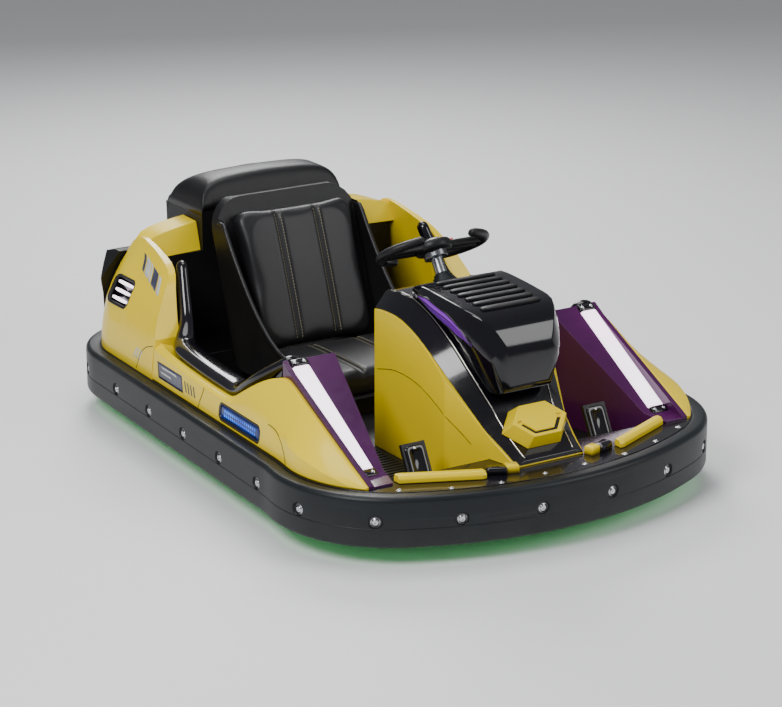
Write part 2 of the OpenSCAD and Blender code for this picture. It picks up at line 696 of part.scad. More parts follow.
// Pocket for the vent, square to the flank
vent_size = [122, 86];
vent_pos = [sx(-612), sz(352)];
vent_tilt = 28;
module vent_pocket(depth)
    translate([vent_pos.x, side_y(vent_pos.x, panel_inset) - sy(39), vent_pos.y])
        rotate([vent_tilt - 90, 0, 0]) translate([0, 0, -depth]) linear_extrude(depth + 40)
            rounded(vent_size.x, vent_size.y, 22);

module rear_fender() color("#f2dc3c") difference() {
    union() {
        skin([for (r = smooth(reversed(fender_rows), 2)) fender_section(r)]);
        shoulder();
    }
    vent_pocket(12);
}

// Back of the rear cowl, a plane that leans outward
back_low = [sx(-794), body_z];
back_high = [sx(-811), sz(528)];
back_angle = atan2(back_low.x - back_high.x, back_high.y - back_low.y);
module on_back() translate([back_low.x, 0, back_low.y]) rotate([0, -back_angle, 0]) children();

// Lamps and grooves on the side fascias, columns beside the painted panel
lamp_y = sy(292);
tail_lamp_size = [76, 190];
tail_lamp_z = 122;
groove_y = [sy(345), sy(368)];
column_y = [sy(172), sy(222)];
cowl_top = sz(shoulder_z) - seat_gap;

module cowl_centre() intersection() {
    across(concat([[sx(-602), body_z]],
                  smooth(xz([[-602, 560], [-628, 622], [-664, 640], [-714, 634], [-766, 594], [-811, 528]]), 3),
                  [back_low]), -sy(226), sy(226));
    along(concat([[-sy(226), bumper_top]],
                 [for (p = [[-226, 548], [-214, 590], [-180, 618], [-112, 634], [0, 641],
                            [112, 634], [180, 618], [214, 590], [226, 548]]) [sy(p.x), sz(p.y)]],
                 [[sy(226), bumper_top]]), sx(-820), sx(-600));
}

module cowl_sides() {
    across(concat([[sx(-602), body_z], [sx(-602), cowl_top]], [[sx(-745), cowl_top]],
                  [back_low + 0.68 * (back_high - back_low), back_low]), -sy(384), sy(384));
    // Fascia round the corner, behind the fender
    intersection() {
        across([[sx(-718), cowl_top], [sx(-759), sz(311)], [sx(-771), body_z], back_low,
                back_low + 0.68 * (back_high - back_low), [sx(-745), cowl_top]], -sy(520), sy(520));
        plate(bumper_t + 4, bumper_top, body_h);
        along([for (p = [[-520, 178], [-508, 260], [-478, 350], [-424, 436], [424, 436], [478, 350], [508, 260],
                         [520, 178]]) [sy(p.x), sz(p.y)]], sx(-830), sx(-700));
    }
}

module rear_cowl() color("#121317") difference() {
    union() {
        cowl_centre();
        cowl_sides();
        on_back() both_sides() block(-13, over, column_y[0], column_y[1], 10, sz(530) - body_z);
    }
    // Room for the battery
    block(sx(-782), sx(-614), -sy(372), sy(372), bumper_top - over, sz(418));
    on_back() both_sides() {
        for (y = groove_y)
            block(-over, 8, y, y + 9, 34, 226);
    }
}

module tail_lamp() color("#ff5a48")
    on_back() translate([-8 - seat_gap, 0, 0]) rotate([90, 0, 90]) linear_extrude(8)
        translate([lamp_y, tail_lamp_z]) difference() {
            rounded(tail_lamp_size.x, tail_lamp_size.y, 30);
            rounded(tail_lamp_size.x - 24, tail_lamp_size.y - 24, 20);
        }

// Painted panel with a bare disc, its top notched under the hood
panel_t = 12;
panel_half_w = sy(164);
module rear_panel() color("#f2dc3c") on_back() translate([-panel_t - seat_gap, 0, 0]) {
    z1 = sz(528) - body_z;
    difference() {
        hull() {
            along([[-panel_half_w, 40], [-panel_half_w + 12, 30], [panel_half_w - 12, 30], [panel_half_w, 40],
                   [panel_half_w, z1 - 14], [panel_half_w - 14, z1], [14 - panel_half_w, z1], [-panel_half_w, z1 - 14]],
                  panel_t - 4, panel_t);
            along([[-panel_half_w + 8, 46], [panel_half_w - 8, 46], [panel_half_w - 8, z1 - 22],
                   [panel_half_w - 20, z1 - 8], [20 - panel_half_w, z1 - 8], [8 - panel_half_w, z1 - 22]], 0, panel_t);
        }
        translate([-over, 0, z1]) rotate([0, 90, 0]) cylinder(h = panel_t + 2 * over, r = 62);
    }
    translate([-5, 0, 0.48 * z1]) rotate([0, 90, 0]) cylinder(h = 6, r = 46);
}

module battery_block() color("#3d4654")
    translate([sx(-772), -battery_size.y / 2, body_z]) cube(battery_size);

// Drive wheel
module drive_fork() color("#8d9198") translate([drive_x, 0, 0]) union() {
    translate([0, 0, crown_z + crown_t - over])
        cylinder(h = head_z + head_tube_h + 2 - crown_z - crown_t + over, d = stem_d);
    block(-48, 48, -leg_y - leg_t, leg_y + leg_t, crown_z, crown_z + crown_t);
    both_sides() {
        block(-26, 26, leg_y, leg_y + leg_t, axle_z, crown_z + over);
        translate([0, leg_y, axle_z]) rotate([-90, 0, 0]) cylinder(h = leg_t, r = 26);
    }
    translate([0, -leg_y - leg_t - 8, axle_z]) rotate([-90, 0, 0]) cylinder(h = 2 * (leg_y + leg_t + 8), d = axle_d);
}

module wheel_axis(r, x, y) translate([x, y, r]) rotate([-90, 0, 0]) children();

module drive_hub() color("#a7abb2") wheel_axis(axle_z, drive_x, 0) difference() {
    union() {
        translate([0, 0, -hub_half_w]) cylinder(h = 2 * hub_half_w, d = motor_d - 24);
        translate([0, 0, -drive_w / 2 + 6]) cylinder(h = drive_w - 12, d = motor_d);
    }
    translate([0, 0, -hub_half_w - over]) cylinder(h = 2 * (hub_half_w + over), d = axle_d + 2 * run_gap);
}

// Tyre as a turned section: inner radius, outer radius, width and shoulder
module tyre(ri, ro, w, shoulder)
    rotate_extrude($fn = 64) polygon([
        [ri, -w / 2 + 5], [ro - shoulder * 1.5, -w / 2], [ro - shoulder * 0.4, -w / 2 + shoulder * 0.35],
        [ro, -w / 2 + shoulder], [ro, w / 2 - shoulder], [ro - shoulder * 0.4, w / 2 - shoulder * 0.35],
        [ro - shoulder * 1.5, w / 2], [ri, w / 2 - 5]]);

module drive_tyre() color("#1b1c1e") wheel_axis(axle_z, drive_x, 0) tyre(motor_d / 2, drive_d / 2, drive_w, 12);

// Casters
module caster_fork() color("#b9bdc4") translate([caster_pos.x, caster_pos.y, 0]) union() {
    z1 = caster_crown_z + caster_crown_t;
    leg = caster_w / 2 + 5;
    translate([0, 0, z1 - over]) cylinder(h = bearing_h + over - seat_gap, d = bearing_d);
    translate([0, 0, z1]) cylinder(h = bearing_h + caster_plate_t + 14, d = kingpin_d);
    block(-caster_trail - 16, 30, -leg - 4, leg + 4, caster_crown_z, z1);
    for (s = [-1, 1])
        translate([0, s * (leg + 2), 0])
            across([[-caster_trail - 14, caster_d / 2 - 10], [-caster_trail + 12, caster_d / 2 - 10],
                    [26, caster_crown_z + over], [-caster_trail - 16, caster_crown_z + over]], -2, 2);
    translate([-caster_trail, -leg - 9, caster_d / 2]) rotate([-90, 0, 0]) cylinder(h = 2 * leg + 18, d = caster_axle_d);
}

module caster_hub() color("#d8dade") wheel_axis(caster_d / 2, caster_pos.x - caster_trail, caster_pos.y) difference() {
    translate([0, 0, -caster_w / 2 - 2]) cylinder(h = caster_w + 4, d = caster_d - 30);
    translate([0, 0, -caster_w]) cylinder(h = 2 * caster_w, d = caster_axle_d + 2 * run_gap);
}

module caster_tyre() color("#26282c") wheel_axis(caster_d / 2, caster_pos.x - caster_trail, caster_pos.y)
    tyre(caster_d / 2 - 15, caster_d / 2, caster_w, 6);

chassis_frame();
floor_pan();
bumper_rail();
bumper_ring();
deck_plate();
underglow_strip();
right_side() side_pod();  // side_pod_right
side_pod();  // side_pod_left
right_side() cockpit_trim();  // cockpit_trim_right
cockpit_trim();  // cockpit_trim_left
right_side() light_channel();  // light_channel_right
light_channel();  // light_channel_left
right_side() light_bar();  // light_bar_right
light_bar();  // light_bar_left
console_shell();
console_band();
front_housing();
nose_cap();
right_side() front_lip();  // front_lip_right
front_lip();  // front_lip_left
pedal(-sy(275));  // pedal_accelerator
pedal(sy(275));  // pedal_brake
column_tube();
steering_column();
steering_yoke();
seat_shell();
seat_cushion();
back_cushion();
battery_block();
right_side() rear_fender();  // rear_fender_right
rear_fender();  // rear_fender_left
right_side() tail_lamp();  // tail_lamp_right
tail_lamp();  // tail_lamp_left
rear_cowl();
rear_panel();
drive_fork();
drive_hub();
drive_tyre();
right_side() caster_fork();  // caster_fork_right
right_side() caster_hub();  // caster_hub_right
right_side() caster_tyre();  // caster_tyre_right
caster_fork();  // caster_fork_left
caster_hub();  // caster_hub_left
caster_tyre();  // caster_tyre_left
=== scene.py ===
"""Looks of the battery bumper car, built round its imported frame."""

from __future__ import annotations

import json
import logging
import math
from dataclasses import dataclass, field
from enum import Enum
from typing import Callable, Iterable, Sequence

import bmesh
import bpy
import numpy as np
from bmesh.types import BMesh
from bpy.types import ID, Material, Mesh, Node, NodeTree, Object
from mathutils import Euler, Matrix, Vector
from mathutils.bvhtree import BVHTree

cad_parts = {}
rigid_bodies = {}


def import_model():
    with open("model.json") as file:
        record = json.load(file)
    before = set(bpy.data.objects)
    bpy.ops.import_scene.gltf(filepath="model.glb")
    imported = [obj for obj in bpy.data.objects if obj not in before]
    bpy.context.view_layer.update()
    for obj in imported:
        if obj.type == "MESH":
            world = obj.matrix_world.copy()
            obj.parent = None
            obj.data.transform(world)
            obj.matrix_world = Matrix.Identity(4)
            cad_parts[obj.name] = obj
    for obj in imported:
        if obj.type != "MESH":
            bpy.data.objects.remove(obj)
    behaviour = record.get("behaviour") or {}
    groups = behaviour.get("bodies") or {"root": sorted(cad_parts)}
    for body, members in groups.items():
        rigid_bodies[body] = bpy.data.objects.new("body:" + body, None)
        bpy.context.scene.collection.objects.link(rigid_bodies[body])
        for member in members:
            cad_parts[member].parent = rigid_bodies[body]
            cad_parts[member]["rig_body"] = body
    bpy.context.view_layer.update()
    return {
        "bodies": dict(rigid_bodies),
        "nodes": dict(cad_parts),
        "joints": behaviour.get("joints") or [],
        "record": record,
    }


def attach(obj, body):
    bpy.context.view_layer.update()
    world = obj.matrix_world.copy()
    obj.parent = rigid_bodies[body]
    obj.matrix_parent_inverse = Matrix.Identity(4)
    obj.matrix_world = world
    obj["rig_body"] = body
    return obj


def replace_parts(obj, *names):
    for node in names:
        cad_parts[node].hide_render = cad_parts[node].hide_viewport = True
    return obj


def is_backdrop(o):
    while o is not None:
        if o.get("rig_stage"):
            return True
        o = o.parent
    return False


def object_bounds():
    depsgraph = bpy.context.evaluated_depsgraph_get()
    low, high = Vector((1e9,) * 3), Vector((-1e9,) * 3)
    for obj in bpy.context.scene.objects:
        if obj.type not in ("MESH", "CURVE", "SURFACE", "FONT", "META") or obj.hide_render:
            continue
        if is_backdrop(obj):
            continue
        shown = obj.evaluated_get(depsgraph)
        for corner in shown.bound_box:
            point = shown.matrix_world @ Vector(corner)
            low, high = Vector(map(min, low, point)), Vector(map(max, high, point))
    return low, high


LOG = logging.getLogger("bumper_car")
MM = 0.001
OUTSIDE = 700.0
SKIRT = 1.0
Pair = tuple[float, float]
Point = tuple[float, float, float]
Layer = tuple[float, float, float, float]
Ray = tuple[Point, Point]
Nodes = dict[str, tuple[str, dict, dict]]


class Side(Enum):
    """The two sides of the car, with the sign of their y."""

    LEFT = 1
    RIGHT = -1

    @property
    def word(self) -> str:
        """Name of the side in node names."""
        return self.name.lower()

    @property
    def mirror(self) -> Matrix:
        """Mirror for the right side, nothing for the left."""
        return Matrix.Diagonal((1.0, float(self.value), 1.0, 1.0))

    def ray(self, x: float, z: float) -> Ray:
        """Ray from outside onto this side of the car."""
        return (x, self.value * OUTSIDE, z), (0, -self.value, 0)


# Node graphs


def wire(tree: NodeTree, made: dict[str, Node], nodes: Nodes, links: Iterable[str]) -> None:
    """Add nodes to a tree and link them.

    Args:
        tree: The tree.
        made: Nodes that are there already, by a short name. The new ones join them.
        nodes: Type, settings and input values of each new node.
        links: Lines such as "noise.Fac > cut.Value", with the name or the number of each socket.
    """
    for name, (kind, settings, values) in nodes.items():
        node = made[name] = tree.nodes.new(kind)
        for key, value in settings.items():
            setattr(node, key, value)
        for key, value in values.items():
            node.inputs[key].default_value = value
    for line in links:
        (start, leaving), (end, entering) = (part.split(".") for part in line.split(" > "))
        output = made[start].outputs[int(leaving) if leaving.isdigit() else leaving]
        tree.links.new(output, made[end].inputs[int(entering) if entering.isdigit() else entering])


def group_tree(
    title: str, inputs: Sequence[tuple], outputs: Sequence[Sequence[str]], nodes: Nodes, links: Iterable[str],
    kind: str = "ShaderNodeTree",
) -> NodeTree:
    """Make a node group.

    Args:
        title: Name of the group.
        inputs: Name, socket type and default of each input.
        outputs: Name and socket type of each output.
        nodes: Its nodes. The group's own ends are called enter and leave.
        links: Its links.
        kind: Type of the tree.

    Returns:
        The group.
    """
    tree = bpy.data.node_groups.new(title, kind)
    for label, sort, value in inputs:
        socket = tree.interface.new_socket(label, in_out="INPUT", socket_type="NodeSocket" + sort)
        if value is not None:
            socket.default_value = value
    for label, sort in outputs:
        tree.interface.new_socket(label, in_out="OUTPUT", socket_type="NodeSocket" + sort)
    made = {"enter": tree.nodes.new("NodeGroupInput"), "leave": tree.nodes.new("NodeGroupOutput")}
    wire(tree, made, nodes, links)
    return tree


NOISE = "ShaderNodeTexNoise"
RANGE = "ShaderNodeMapRange"
MATH = "ShaderNodeMath"
TIMES = (MATH, {"operation": "MULTIPLY"}, {})
PLACE = ("Vector", "Vector", None)
MASK = [("Mask", "Float")]
EFFECTS = {
    "grain": (
        "Moulded grain", [PLACE, ("Scale", "Float", 400.0)], [("Height", "Float"), ("Tone", "Float")],
        {
            "cells": ("ShaderNodeTexVoronoi", {"feature": "SMOOTH_F1"}, {}),
            "noise": (NOISE, {}, {"Detail": 3.0}),
            "half": (MATH, {"operation": "MULTIPLY"}, {1: 0.45}),
            "mix": ("ShaderNodeMix", {}, {"Factor": 0.4}),
        },
        ["enter.Vector > cells.Vector", "enter.Vector > noise.Vector", "enter.Scale > cells.Scale",
         "enter.Scale > half.0", "half.0 > noise.Scale", "cells.Distance > mix.A", "noise.Fac > mix.B",
         "mix.Result > leave.Height", "noise.Fac > leave.Tone"],
    ),
    "scuffs": (
        "Rub marks", [PLACE, ("Scale", "Float", 6.0), ("Amount", "Float", 0.3)], MASK,
        {
            "stretch": ("ShaderNodeMapping", {}, {"Scale": (0.35, 0.35, 9.0)}),
            "noise": (NOISE, {}, {"Detail": 7.0, "Roughness": 0.7}),
            "patches": (NOISE, {}, {"Scale": 3.1}),
            "cut": (RANGE, {}, {"From Min": 0.56, "From Max": 0.72}),
            "area": (RANGE, {}, {"From Min": 0.45, "From Max": 0.65}),
            "both": TIMES,
            "amount": TIMES,
        },
        ["enter.Vector > stretch.Vector", "enter.Vector > patches.Vector", "stretch.Vector > noise.Vector",
         "enter.Scale > noise.Scale", "noise.Fac > cut.Value", "patches.Fac > area.Value",
         "cut.Result > both.0", "area.Result > both.1", "both.0 > amount.0", "enter.Amount > amount.1",
         "amount.0 > leave.Mask"],
    ),
    "dust": (
        "Floor dust", [PLACE, ("Top", "Float", 0.2), ("Amount", "Float", 0.3)], MASK,
        {
            "split": ("ShaderNodeSeparateXYZ", {}, {}),
            "fade": (RANGE, {}, {"From Min": 0.0, "To Min": 1.0, "To Max": 0.0}),
            "noise": (NOISE, {}, {"Scale": 17.0, "Detail": 6.0}),
            "times": TIMES,
            "amount": TIMES,
        },
        ["enter.Vector > split.0", "enter.Vector > noise.Vector", "split.Z > fade.Value",
         "enter.Top > fade.From Max", "fade.Result > times.0", "noise.Fac > times.1", "times.0 > amount.0",
         "enter.Amount > amount.1", "amount.0 > leave.Mask"],
    ),
    "tone": (
        "Cloudy tone", [PLACE, ("Scale", "Float", 4.0)], MASK,
        {"noise": (NOISE, {}, {"Detail": 4.0}), "spread": (RANGE, {}, {"From Min": 0.32, "From Max": 0.68})},
        ["enter.Vector > noise.Vector", "enter.Scale > noise.Scale", "noise.Fac > spread.Value",
         "spread.Result > leave.Mask"],
    ),
}


def follower_tree() -> NodeTree:
    """Geometry Nodes that repeat a shape along a path, turned to the path and its outward side.

    Returns:
        The tree. Its inputs are Geometry, Element, Spacing, Size and Finish.
    """
    align = "FunctionNodeAlignRotationToVector"
    return group_tree(
        "Follow a path",
        [("Geometry", "Geometry", None), ("Element", "Object", None), ("Spacing", "Float", None),
         ("Size", "Vector", None), ("Finish", "Material", None)],
        [("Geometry", "Geometry")],
        {
            "curve": ("GeometryNodeMeshToCurve", {}, {}),
            "spaced": ("GeometryNodeResampleCurve", {"mode": "LENGTH"}, {}),
            "dense": ("FunctionNodeCompare", {"data_type": "FLOAT", "operation": "GREATER_THAN"}, {}),
            "choice": ("GeometryNodeSwitch", {"input_type": "GEOMETRY"}, {}),
            "shape": ("GeometryNodeObjectInfo", {}, {}),
            "facing": ("GeometryNodeInputNamedAttribute", {"data_type": "FLOAT_VECTOR"}, {"Name": "out"}),
            "tangent": ("GeometryNodeInputTangent", {}, {}),
            "up": (align, {"axis": "Z"}, {}),
            "ahead": (align, {"axis": "X", "pivot_axis": "Z"}, {}),
            "place": ("GeometryNodeInstanceOnPoints", {}, {}),
            "real": ("GeometryNodeRealizeInstances", {}, {}),
            "finish": ("GeometryNodeSetMaterial", {}, {}),
        },
        ["enter.Geometry > curve.Mesh", "curve.Curve > spaced.Curve", "enter.Spacing > spaced.Length",
         "enter.Element > shape.Object", "facing.Attribute > up.Vector", "up.Rotation > ahead.Rotation",
         "tangent.Tangent > ahead.Vector", "enter.Spacing > dense.A", "dense.Result > choice.Switch",
         "curve.Curve > choice.False", "spaced.Curve > choice.True", "choice.Output > place.Points",
         "shape.Geometry > place.Instance", "ahead.Rotation > place.Rotation", "enter.Size > place.Scale",
         "place.Instances > real.Geometry", "real.Geometry > finish.Geometry",
         "enter.Finish > finish.Material", "finish.Geometry > leave.Geometry"],
        "GeometryNodeTree",
    )


# Finishes


@dataclass(frozen=True)
class Finish:
    """One finish of the car: its colours, gloss, grain and wear."""

    name: str
    slot: str
    color: Point
    shade: Point
    worn: Point
    roughness: float = 0.4
    metallic: float = 0.0
    coat: float = 0.0
    coat_roughness: float = 0.08
    grain_scale: float = 500.0
    grain_depth: float = 0.0
    rough_spread: float = 0.08
    scuff: float = 0.0
    dust: float = 0.0
    dust_top: float = 0.3
    tone_scale: float = 4.0
    glow: Point | None = None
    glow_strength: float = 0.0
    glow_shade: Point | None = None
    specular: float = 0.5

    def make(self, effects: dict[str, NodeTree]) -> Material:
        """Build the material.

        Args:
            effects: The shared shader groups.

        Returns:
            The new material.
        """
        low, high = max(self.roughness - self.rough_spread, 0.02), self.roughness + self.rough_spread
        nodes: Nodes = {
            "where": ("ShaderNodeTexCoord", {}, {}),
            "shaded": self._mix(self.shade, self.color),
            "worn": self._mix(self.worn),
            "dusty": self._mix(DUST),
            "spread": (RANGE, {}, {"To Min": low, "To Max": high}),
            "rough": (MATH, {"operation": "MULTIPLY_ADD"}, {1: DUST_ROUGHNESS}),
        }
        links = ["tone.Mask > shaded.Factor", "scuffs.Mask > worn.Factor", "dust.Mask > dusty.Factor",
                 "shaded.2 > worn.6", "worn.2 > dusty.6", "dusty.2 > shader.Base Color",
                 "grain.Tone > spread.Value", "dust.Mask > rough.0", "spread.Result > rough.2",
                 "rough.0 > shader.Roughness"]
        links += [f"where.Object > {key}.Vector" for key in effects]
        amounts = {"tone": {"Scale": self.tone_scale}, "grain": {"Scale": self.grain_scale},
                   "scuffs": {"Amount": self.scuff}, "dust": {"Amount": self.dust, "Top": self.dust_top}}
        nodes |= {key: ("ShaderNodeGroup", {"node_tree": effects[key]}, amounts[key]) for key in effects}
        if self.grain_depth > 0:
            nodes["bump"] = ("ShaderNodeBump", {}, {"Strength": 0.6, "Distance": self.grain_depth})
            links += ["grain.Height > bump.Height", "bump.Normal > shader.Normal"]
        if self.glow is not None:
            nodes["light"] = self._mix(self.glow_shade or self.glow, self.glow)
            links += ["tone.Mask > light.Factor", "light.2 > shader.Emission Color"]
        material = bpy.data.materials.new(self.name)
        material.use_nodes = True
        material.diffuse_color = (*self.color, 1.0)
        shader = material.node_tree.nodes["Principled BSDF"]
        wire(material.node_tree, {"shader": shader}, nodes, links)
        for label, value in (("Metallic", self.metallic), ("Coat Weight", self.coat),
                             ("Coat Roughness", self.coat_roughness), ("Specular IOR Level", self.specular),
                             ("Emission Strength", self.glow_strength)):
            shader.inputs[label].default_value = value
        return material

    @staticmethod
    def _mix(second: Point, first: Point | None = None) -> tuple[str, dict, dict]:
        """Node that mixes two colours. Its colours enter at 6 and 7 and leave at 2.

        Args:
            second: The second colour.
            first: The first colour, or None for a link.

        Returns:
            Type, settings and input values of the node.
        """
        values = {7: (*second, 1.0)}
        if first is not None:
            values[6] = (*first, 1.0)
        return "ShaderNodeMix", {"data_type": "RGBA"}, values


DUST = (0.33, 0.31, 0.28)
DUST_ROUGHNESS = 0.3
FINISHES = (
    Finish("Bumper rubber", "bumper_rubber",
           (0.011, 0.014, 0.017), (0.007, 0.009, 0.011), (0.045, 0.048, 0.052),
           roughness=0.42, grain_scale=620, grain_depth=0.00035, scuff=0.45, dust=0.10, dust_top=0.14,
           specular=0.28),
    Finish("Yellow body plastic", "yellow_body", (0.87, 0.645, 0.0), (0.83, 0.60, 0.0), (0.88, 0.72, 0.04),
           roughness=0.32, coat=0.22, coat_roughness=0.05, grain_scale=140, grain_depth=0.00003,
           rough_spread=0.05, scuff=0.12, dust=0.04, specular=0.35),
    Finish("Gloss black plastic", "black_gloss", (0.003, 0.003, 0.005), (0.005, 0.004, 0.008),
           (0.022, 0.022, 0.026), roughness=0.13, coat=0.25, coat_roughness=0.04, grain_scale=120,
           grain_depth=0.00002, rough_spread=0.05, scuff=0.25, dust=0.05, specular=0.42),
    Finish("Grained black plastic", "black_plastic", (0.006, 0.006, 0.007), (0.010, 0.010, 0.011),
           (0.030, 0.030, 0.030), roughness=0.42, grain_scale=900, grain_depth=0.0004, scuff=0.25, dust=0.05,
           dust_top=0.4, specular=0.30),
    Finish("Seat vinyl", "seat_vinyl", (0.008, 0.008, 0.009), (0.012, 0.012, 0.014), (0.035, 0.035, 0.04),
           roughness=0.40, grain_scale=520, grain_depth=0.0006, rough_spread=0.07, scuff=0.12, specular=0.38),
    # Painted glow: the channel is no lamp, and its faint purple emission stands in for light falling on it.
    Finish("Purple channel", "purple_channel",
           (0.055, 0.003, 0.058), (0.030, 0.002, 0.036), (0.10, 0.02, 0.12),
           roughness=0.20, coat=0.25, grain_scale=120, grain_depth=0.00004, scuff=0.2, dust=0.03,
           glow=(0.42, 0.02, 0.42), glow_strength=0.035, specular=0.4),
    Finish("White light cover", "white_light", (0.90, 0.78, 0.90), (0.95, 0.88, 0.94), (0.9, 0.9, 0.9),
           roughness=0.35, grain_scale=300, grain_depth=0.00005, glow=(1.0, 0.78, 0.96),
           glow_shade=(1.0, 0.90, 0.98), glow_strength=2.4),
    Finish("Green light cover", "green_light", (0.30, 0.90, 0.34), (0.36, 0.95, 0.42), (0.5, 0.9, 0.5),
           roughness=0.35, glow=(0.20, 1.0, 0.30), glow_strength=2.2),
    Finish("Red light cover", "red_light", (0.75, 0.05, 0.05), (0.60, 0.03, 0.04), (0.8, 0.2, 0.2),
           roughness=0.20, coat=0.5, glow=(1.0, 0.10, 0.12), glow_strength=0.55),
    Finish("Blue lamp lens", "green_light", (0.003, 0.018, 0.16), (0.001, 0.004, 0.04), (0.1, 0.2, 0.5),
           roughness=0.14, coat=0.2, grain_scale=260, grain_depth=0.0004, tone_scale=11.0,
           glow=(0.00, 0.10, 0.9), glow_shade=(0.0, 0.01, 0.12), glow_strength=0.10, specular=0.35),
    Finish("Blue lamp light", "green_light", (0.01, 0.14, 0.85), (0.0, 0.03, 0.4), (0.1, 0.3, 0.8),
           roughness=0.25, grain_scale=260, tone_scale=9.0, glow=(0.02, 0.30, 1.0),
           glow_shade=(0.0, 0.03, 0.5), glow_strength=1.5, specular=0.3),
    Finish("Violet side light", "purple_channel", (0.16, 0.015, 0.30), (0.09, 0.008, 0.20), (0.3, 0.1, 0.4),
           roughness=0.22, coat=0.3, grain_scale=200, grain_depth=0.0002, glow=(0.40, 0.03, 0.85),
           glow_shade=(0.18, 0.01, 0.60), glow_strength=0.42),
    Finish("Black frame paint", "black_frame",
           (0.020, 0.020, 0.022), (0.028, 0.027, 0.028), (0.10, 0.09, 0.08),
           roughness=0.42, grain_scale=260, grain_depth=0.00025, scuff=0.5, dust=0.5),
    Finish("Plain steel", "grey_steel", (0.34, 0.35, 0.37), (0.28, 0.29, 0.31), (0.5, 0.5, 0.5),
           roughness=0.30, metallic=1.0, grain_scale=150, grain_depth=0.00008, scuff=0.4),
    Finish("Zinc plated steel", "zinc_steel", (0.55, 0.56, 0.58), (0.47, 0.48, 0.52), (0.35, 0.34, 0.33),
           roughness=0.34, metallic=1.0, grain_scale=70, grain_depth=0.00008, scuff=0.3, dust=0.4),
    Finish("Cast aluminium", "cast_aluminium", (0.58, 0.59, 0.61), (0.50, 0.51, 0.53), (0.7, 0.7, 0.7),
           roughness=0.42, metallic=1.0, grain_scale=420, grain_depth=0.0004, dust=0.4, dust_top=0.25),
    Finish("Bolt steel", "zinc_steel", (0.66, 0.67, 0.70), (0.58, 0.59, 0.62), (0.4, 0.4, 0.4),
           roughness=0.24, metallic=1.0, grain_scale=200, grain_depth=0.00004),
    Finish("Tyre rubber", "tyre_rubber", (0.024, 0.024, 0.026), (0.034, 0.033, 0.033), (0.09, 0.085, 0.08),
           roughness=0.68, grain_scale=700, grain_depth=0.0005, scuff=0.5, dust=0.6, dust_top=0.25),
    Finish("Caster rubber", "caster_rubber", (0.040, 0.040, 0.044), (0.055, 0.055, 0.058), (0.1, 0.1, 0.1),
           roughness=0.5, grain_depth=0.0003, scuff=0.4, dust=0.6, dust_top=0.15),
    Finish("Battery case", "battery_case", (0.09, 0.11, 0.15), (0.07, 0.09, 0.12), (0.2, 0.2, 0.22),
           roughness=0.5, grain_depth=0.0004),
    Finish("Smoked decal", "black_plastic", (0.055, 0.060, 0.105), (0.028, 0.030, 0.060), (0.15, 0.15, 0.2),
           roughness=0.30, coat=0.4, grain_scale=100, tone_scale=22.0),
    Finish("Pale decal", "black_plastic", (0.62, 0.64, 0.62), (0.50, 0.52, 0.52), (0.5, 0.5, 0.5),
           roughness=0.32, grain_scale=100, scuff=0.3),
    Finish("Silver line", "grey_steel", (0.60, 0.58, 0.52), (0.50, 0.48, 0.44), (0.4, 0.4, 0.4),
           roughness=0.22, metallic=1.0, grain_scale=100),
    Finish("Seat stitch", "seat_vinyl", (0.30, 0.27, 0.16), (0.24, 0.22, 0.14), (0.3, 0.3, 0.3),
           roughness=0.7, grain_scale=900),
    Finish("Panel gap", "black_plastic", (0.004, 0.004, 0.004), (0.006, 0.006, 0.006), (0.01, 0.01, 0.01),
           roughness=0.8, grain_scale=300),
)


# Places and meshes


def shift(x: float, y: float, z: float) -> Matrix:
    """Matrix that moves by a distance in millimetres."""
    return Matrix.Translation(Vector((x, y, z)) * MM)


def turn(degrees: float, axis: str) -> Matrix:
    """Matrix that turns about an axis."""
    return Matrix.Rotation(math.radians(degrees), 4, axis)


def outward(spot: Matrix) -> Vector:
    """Direction of a frame's Z axis."""
    return (spot.to_3x3() @ Vector((0, 0, 1))).normalized()


def round_about(count: int) -> list[float]:
    """Even angles round a circle, in radians."""
    return [math.tau * k / count for k in range(count)]


def linked(name: str, data: ID) -> Object:
    """Make an object of a mesh, a lamp or a camera, and link it to the scene.

    Args:
        name: Name of the object.
        data: Its data.

    Returns:
        The object.
    """
    thing = bpy.data.objects.new(name, data)
    bpy.context.scene.collection.objects.link(thing)
    return thing


def baked(holder: Object) -> Mesh:
    """Turn an object with live modifiers into a plain mesh and remove the object.

    Args:
        holder: The object.

    Returns:
        The mesh.
    """
    bpy.context.view_layer.update()
    graph = bpy.context.evaluated_depsgraph_get()
    mesh = bpy.data.meshes.new_from_object(holder.evaluated_get(graph))
    bpy.data.objects.remove(holder)
    return mesh


def finished(mesh: Mesh, *steps: tuple[str, dict]) -> Mesh:
    """Run modifiers over a mesh.

    Args:
        mesh: The mesh.
        steps: Type and settings of each modifier.

    Returns:
        The finished mesh.
    """
    holder = linked("holder", mesh)
    for kind, settings in steps:
        modifier = holder.modifiers.new(kind, kind)
        for key, value in settings.items():
            setattr(modifier, key, value)
    return baked(holder)


EVEN_NORMALS = ("WEIGHTED_NORMAL", {"mode": "FACE_AREA", "keep_sharp": True})


def mesh_of(build: Callable[[BMesh], None], smooth: bool = True) -> Mesh:
    """Make a mesh with a function that fills it.

    Args:
        build: Function that adds the geometry.
        smooth: Whether the faces are shaded smooth.

    Returns:
        The mesh, its normals pointing outwards.
    """
    bm = bmesh.new()
    build(bm)
    bmesh.ops.remove_doubles(bm, verts=bm.verts, dist=1e-7)
    bmesh.ops.recalc_face_normals(bm, faces=bm.faces)
    for face in bm.faces:
        face.smooth = smooth
    mesh = bpy.data.meshes.new("shape")
    bm.to_mesh(mesh)
    bm.free()
    return mesh


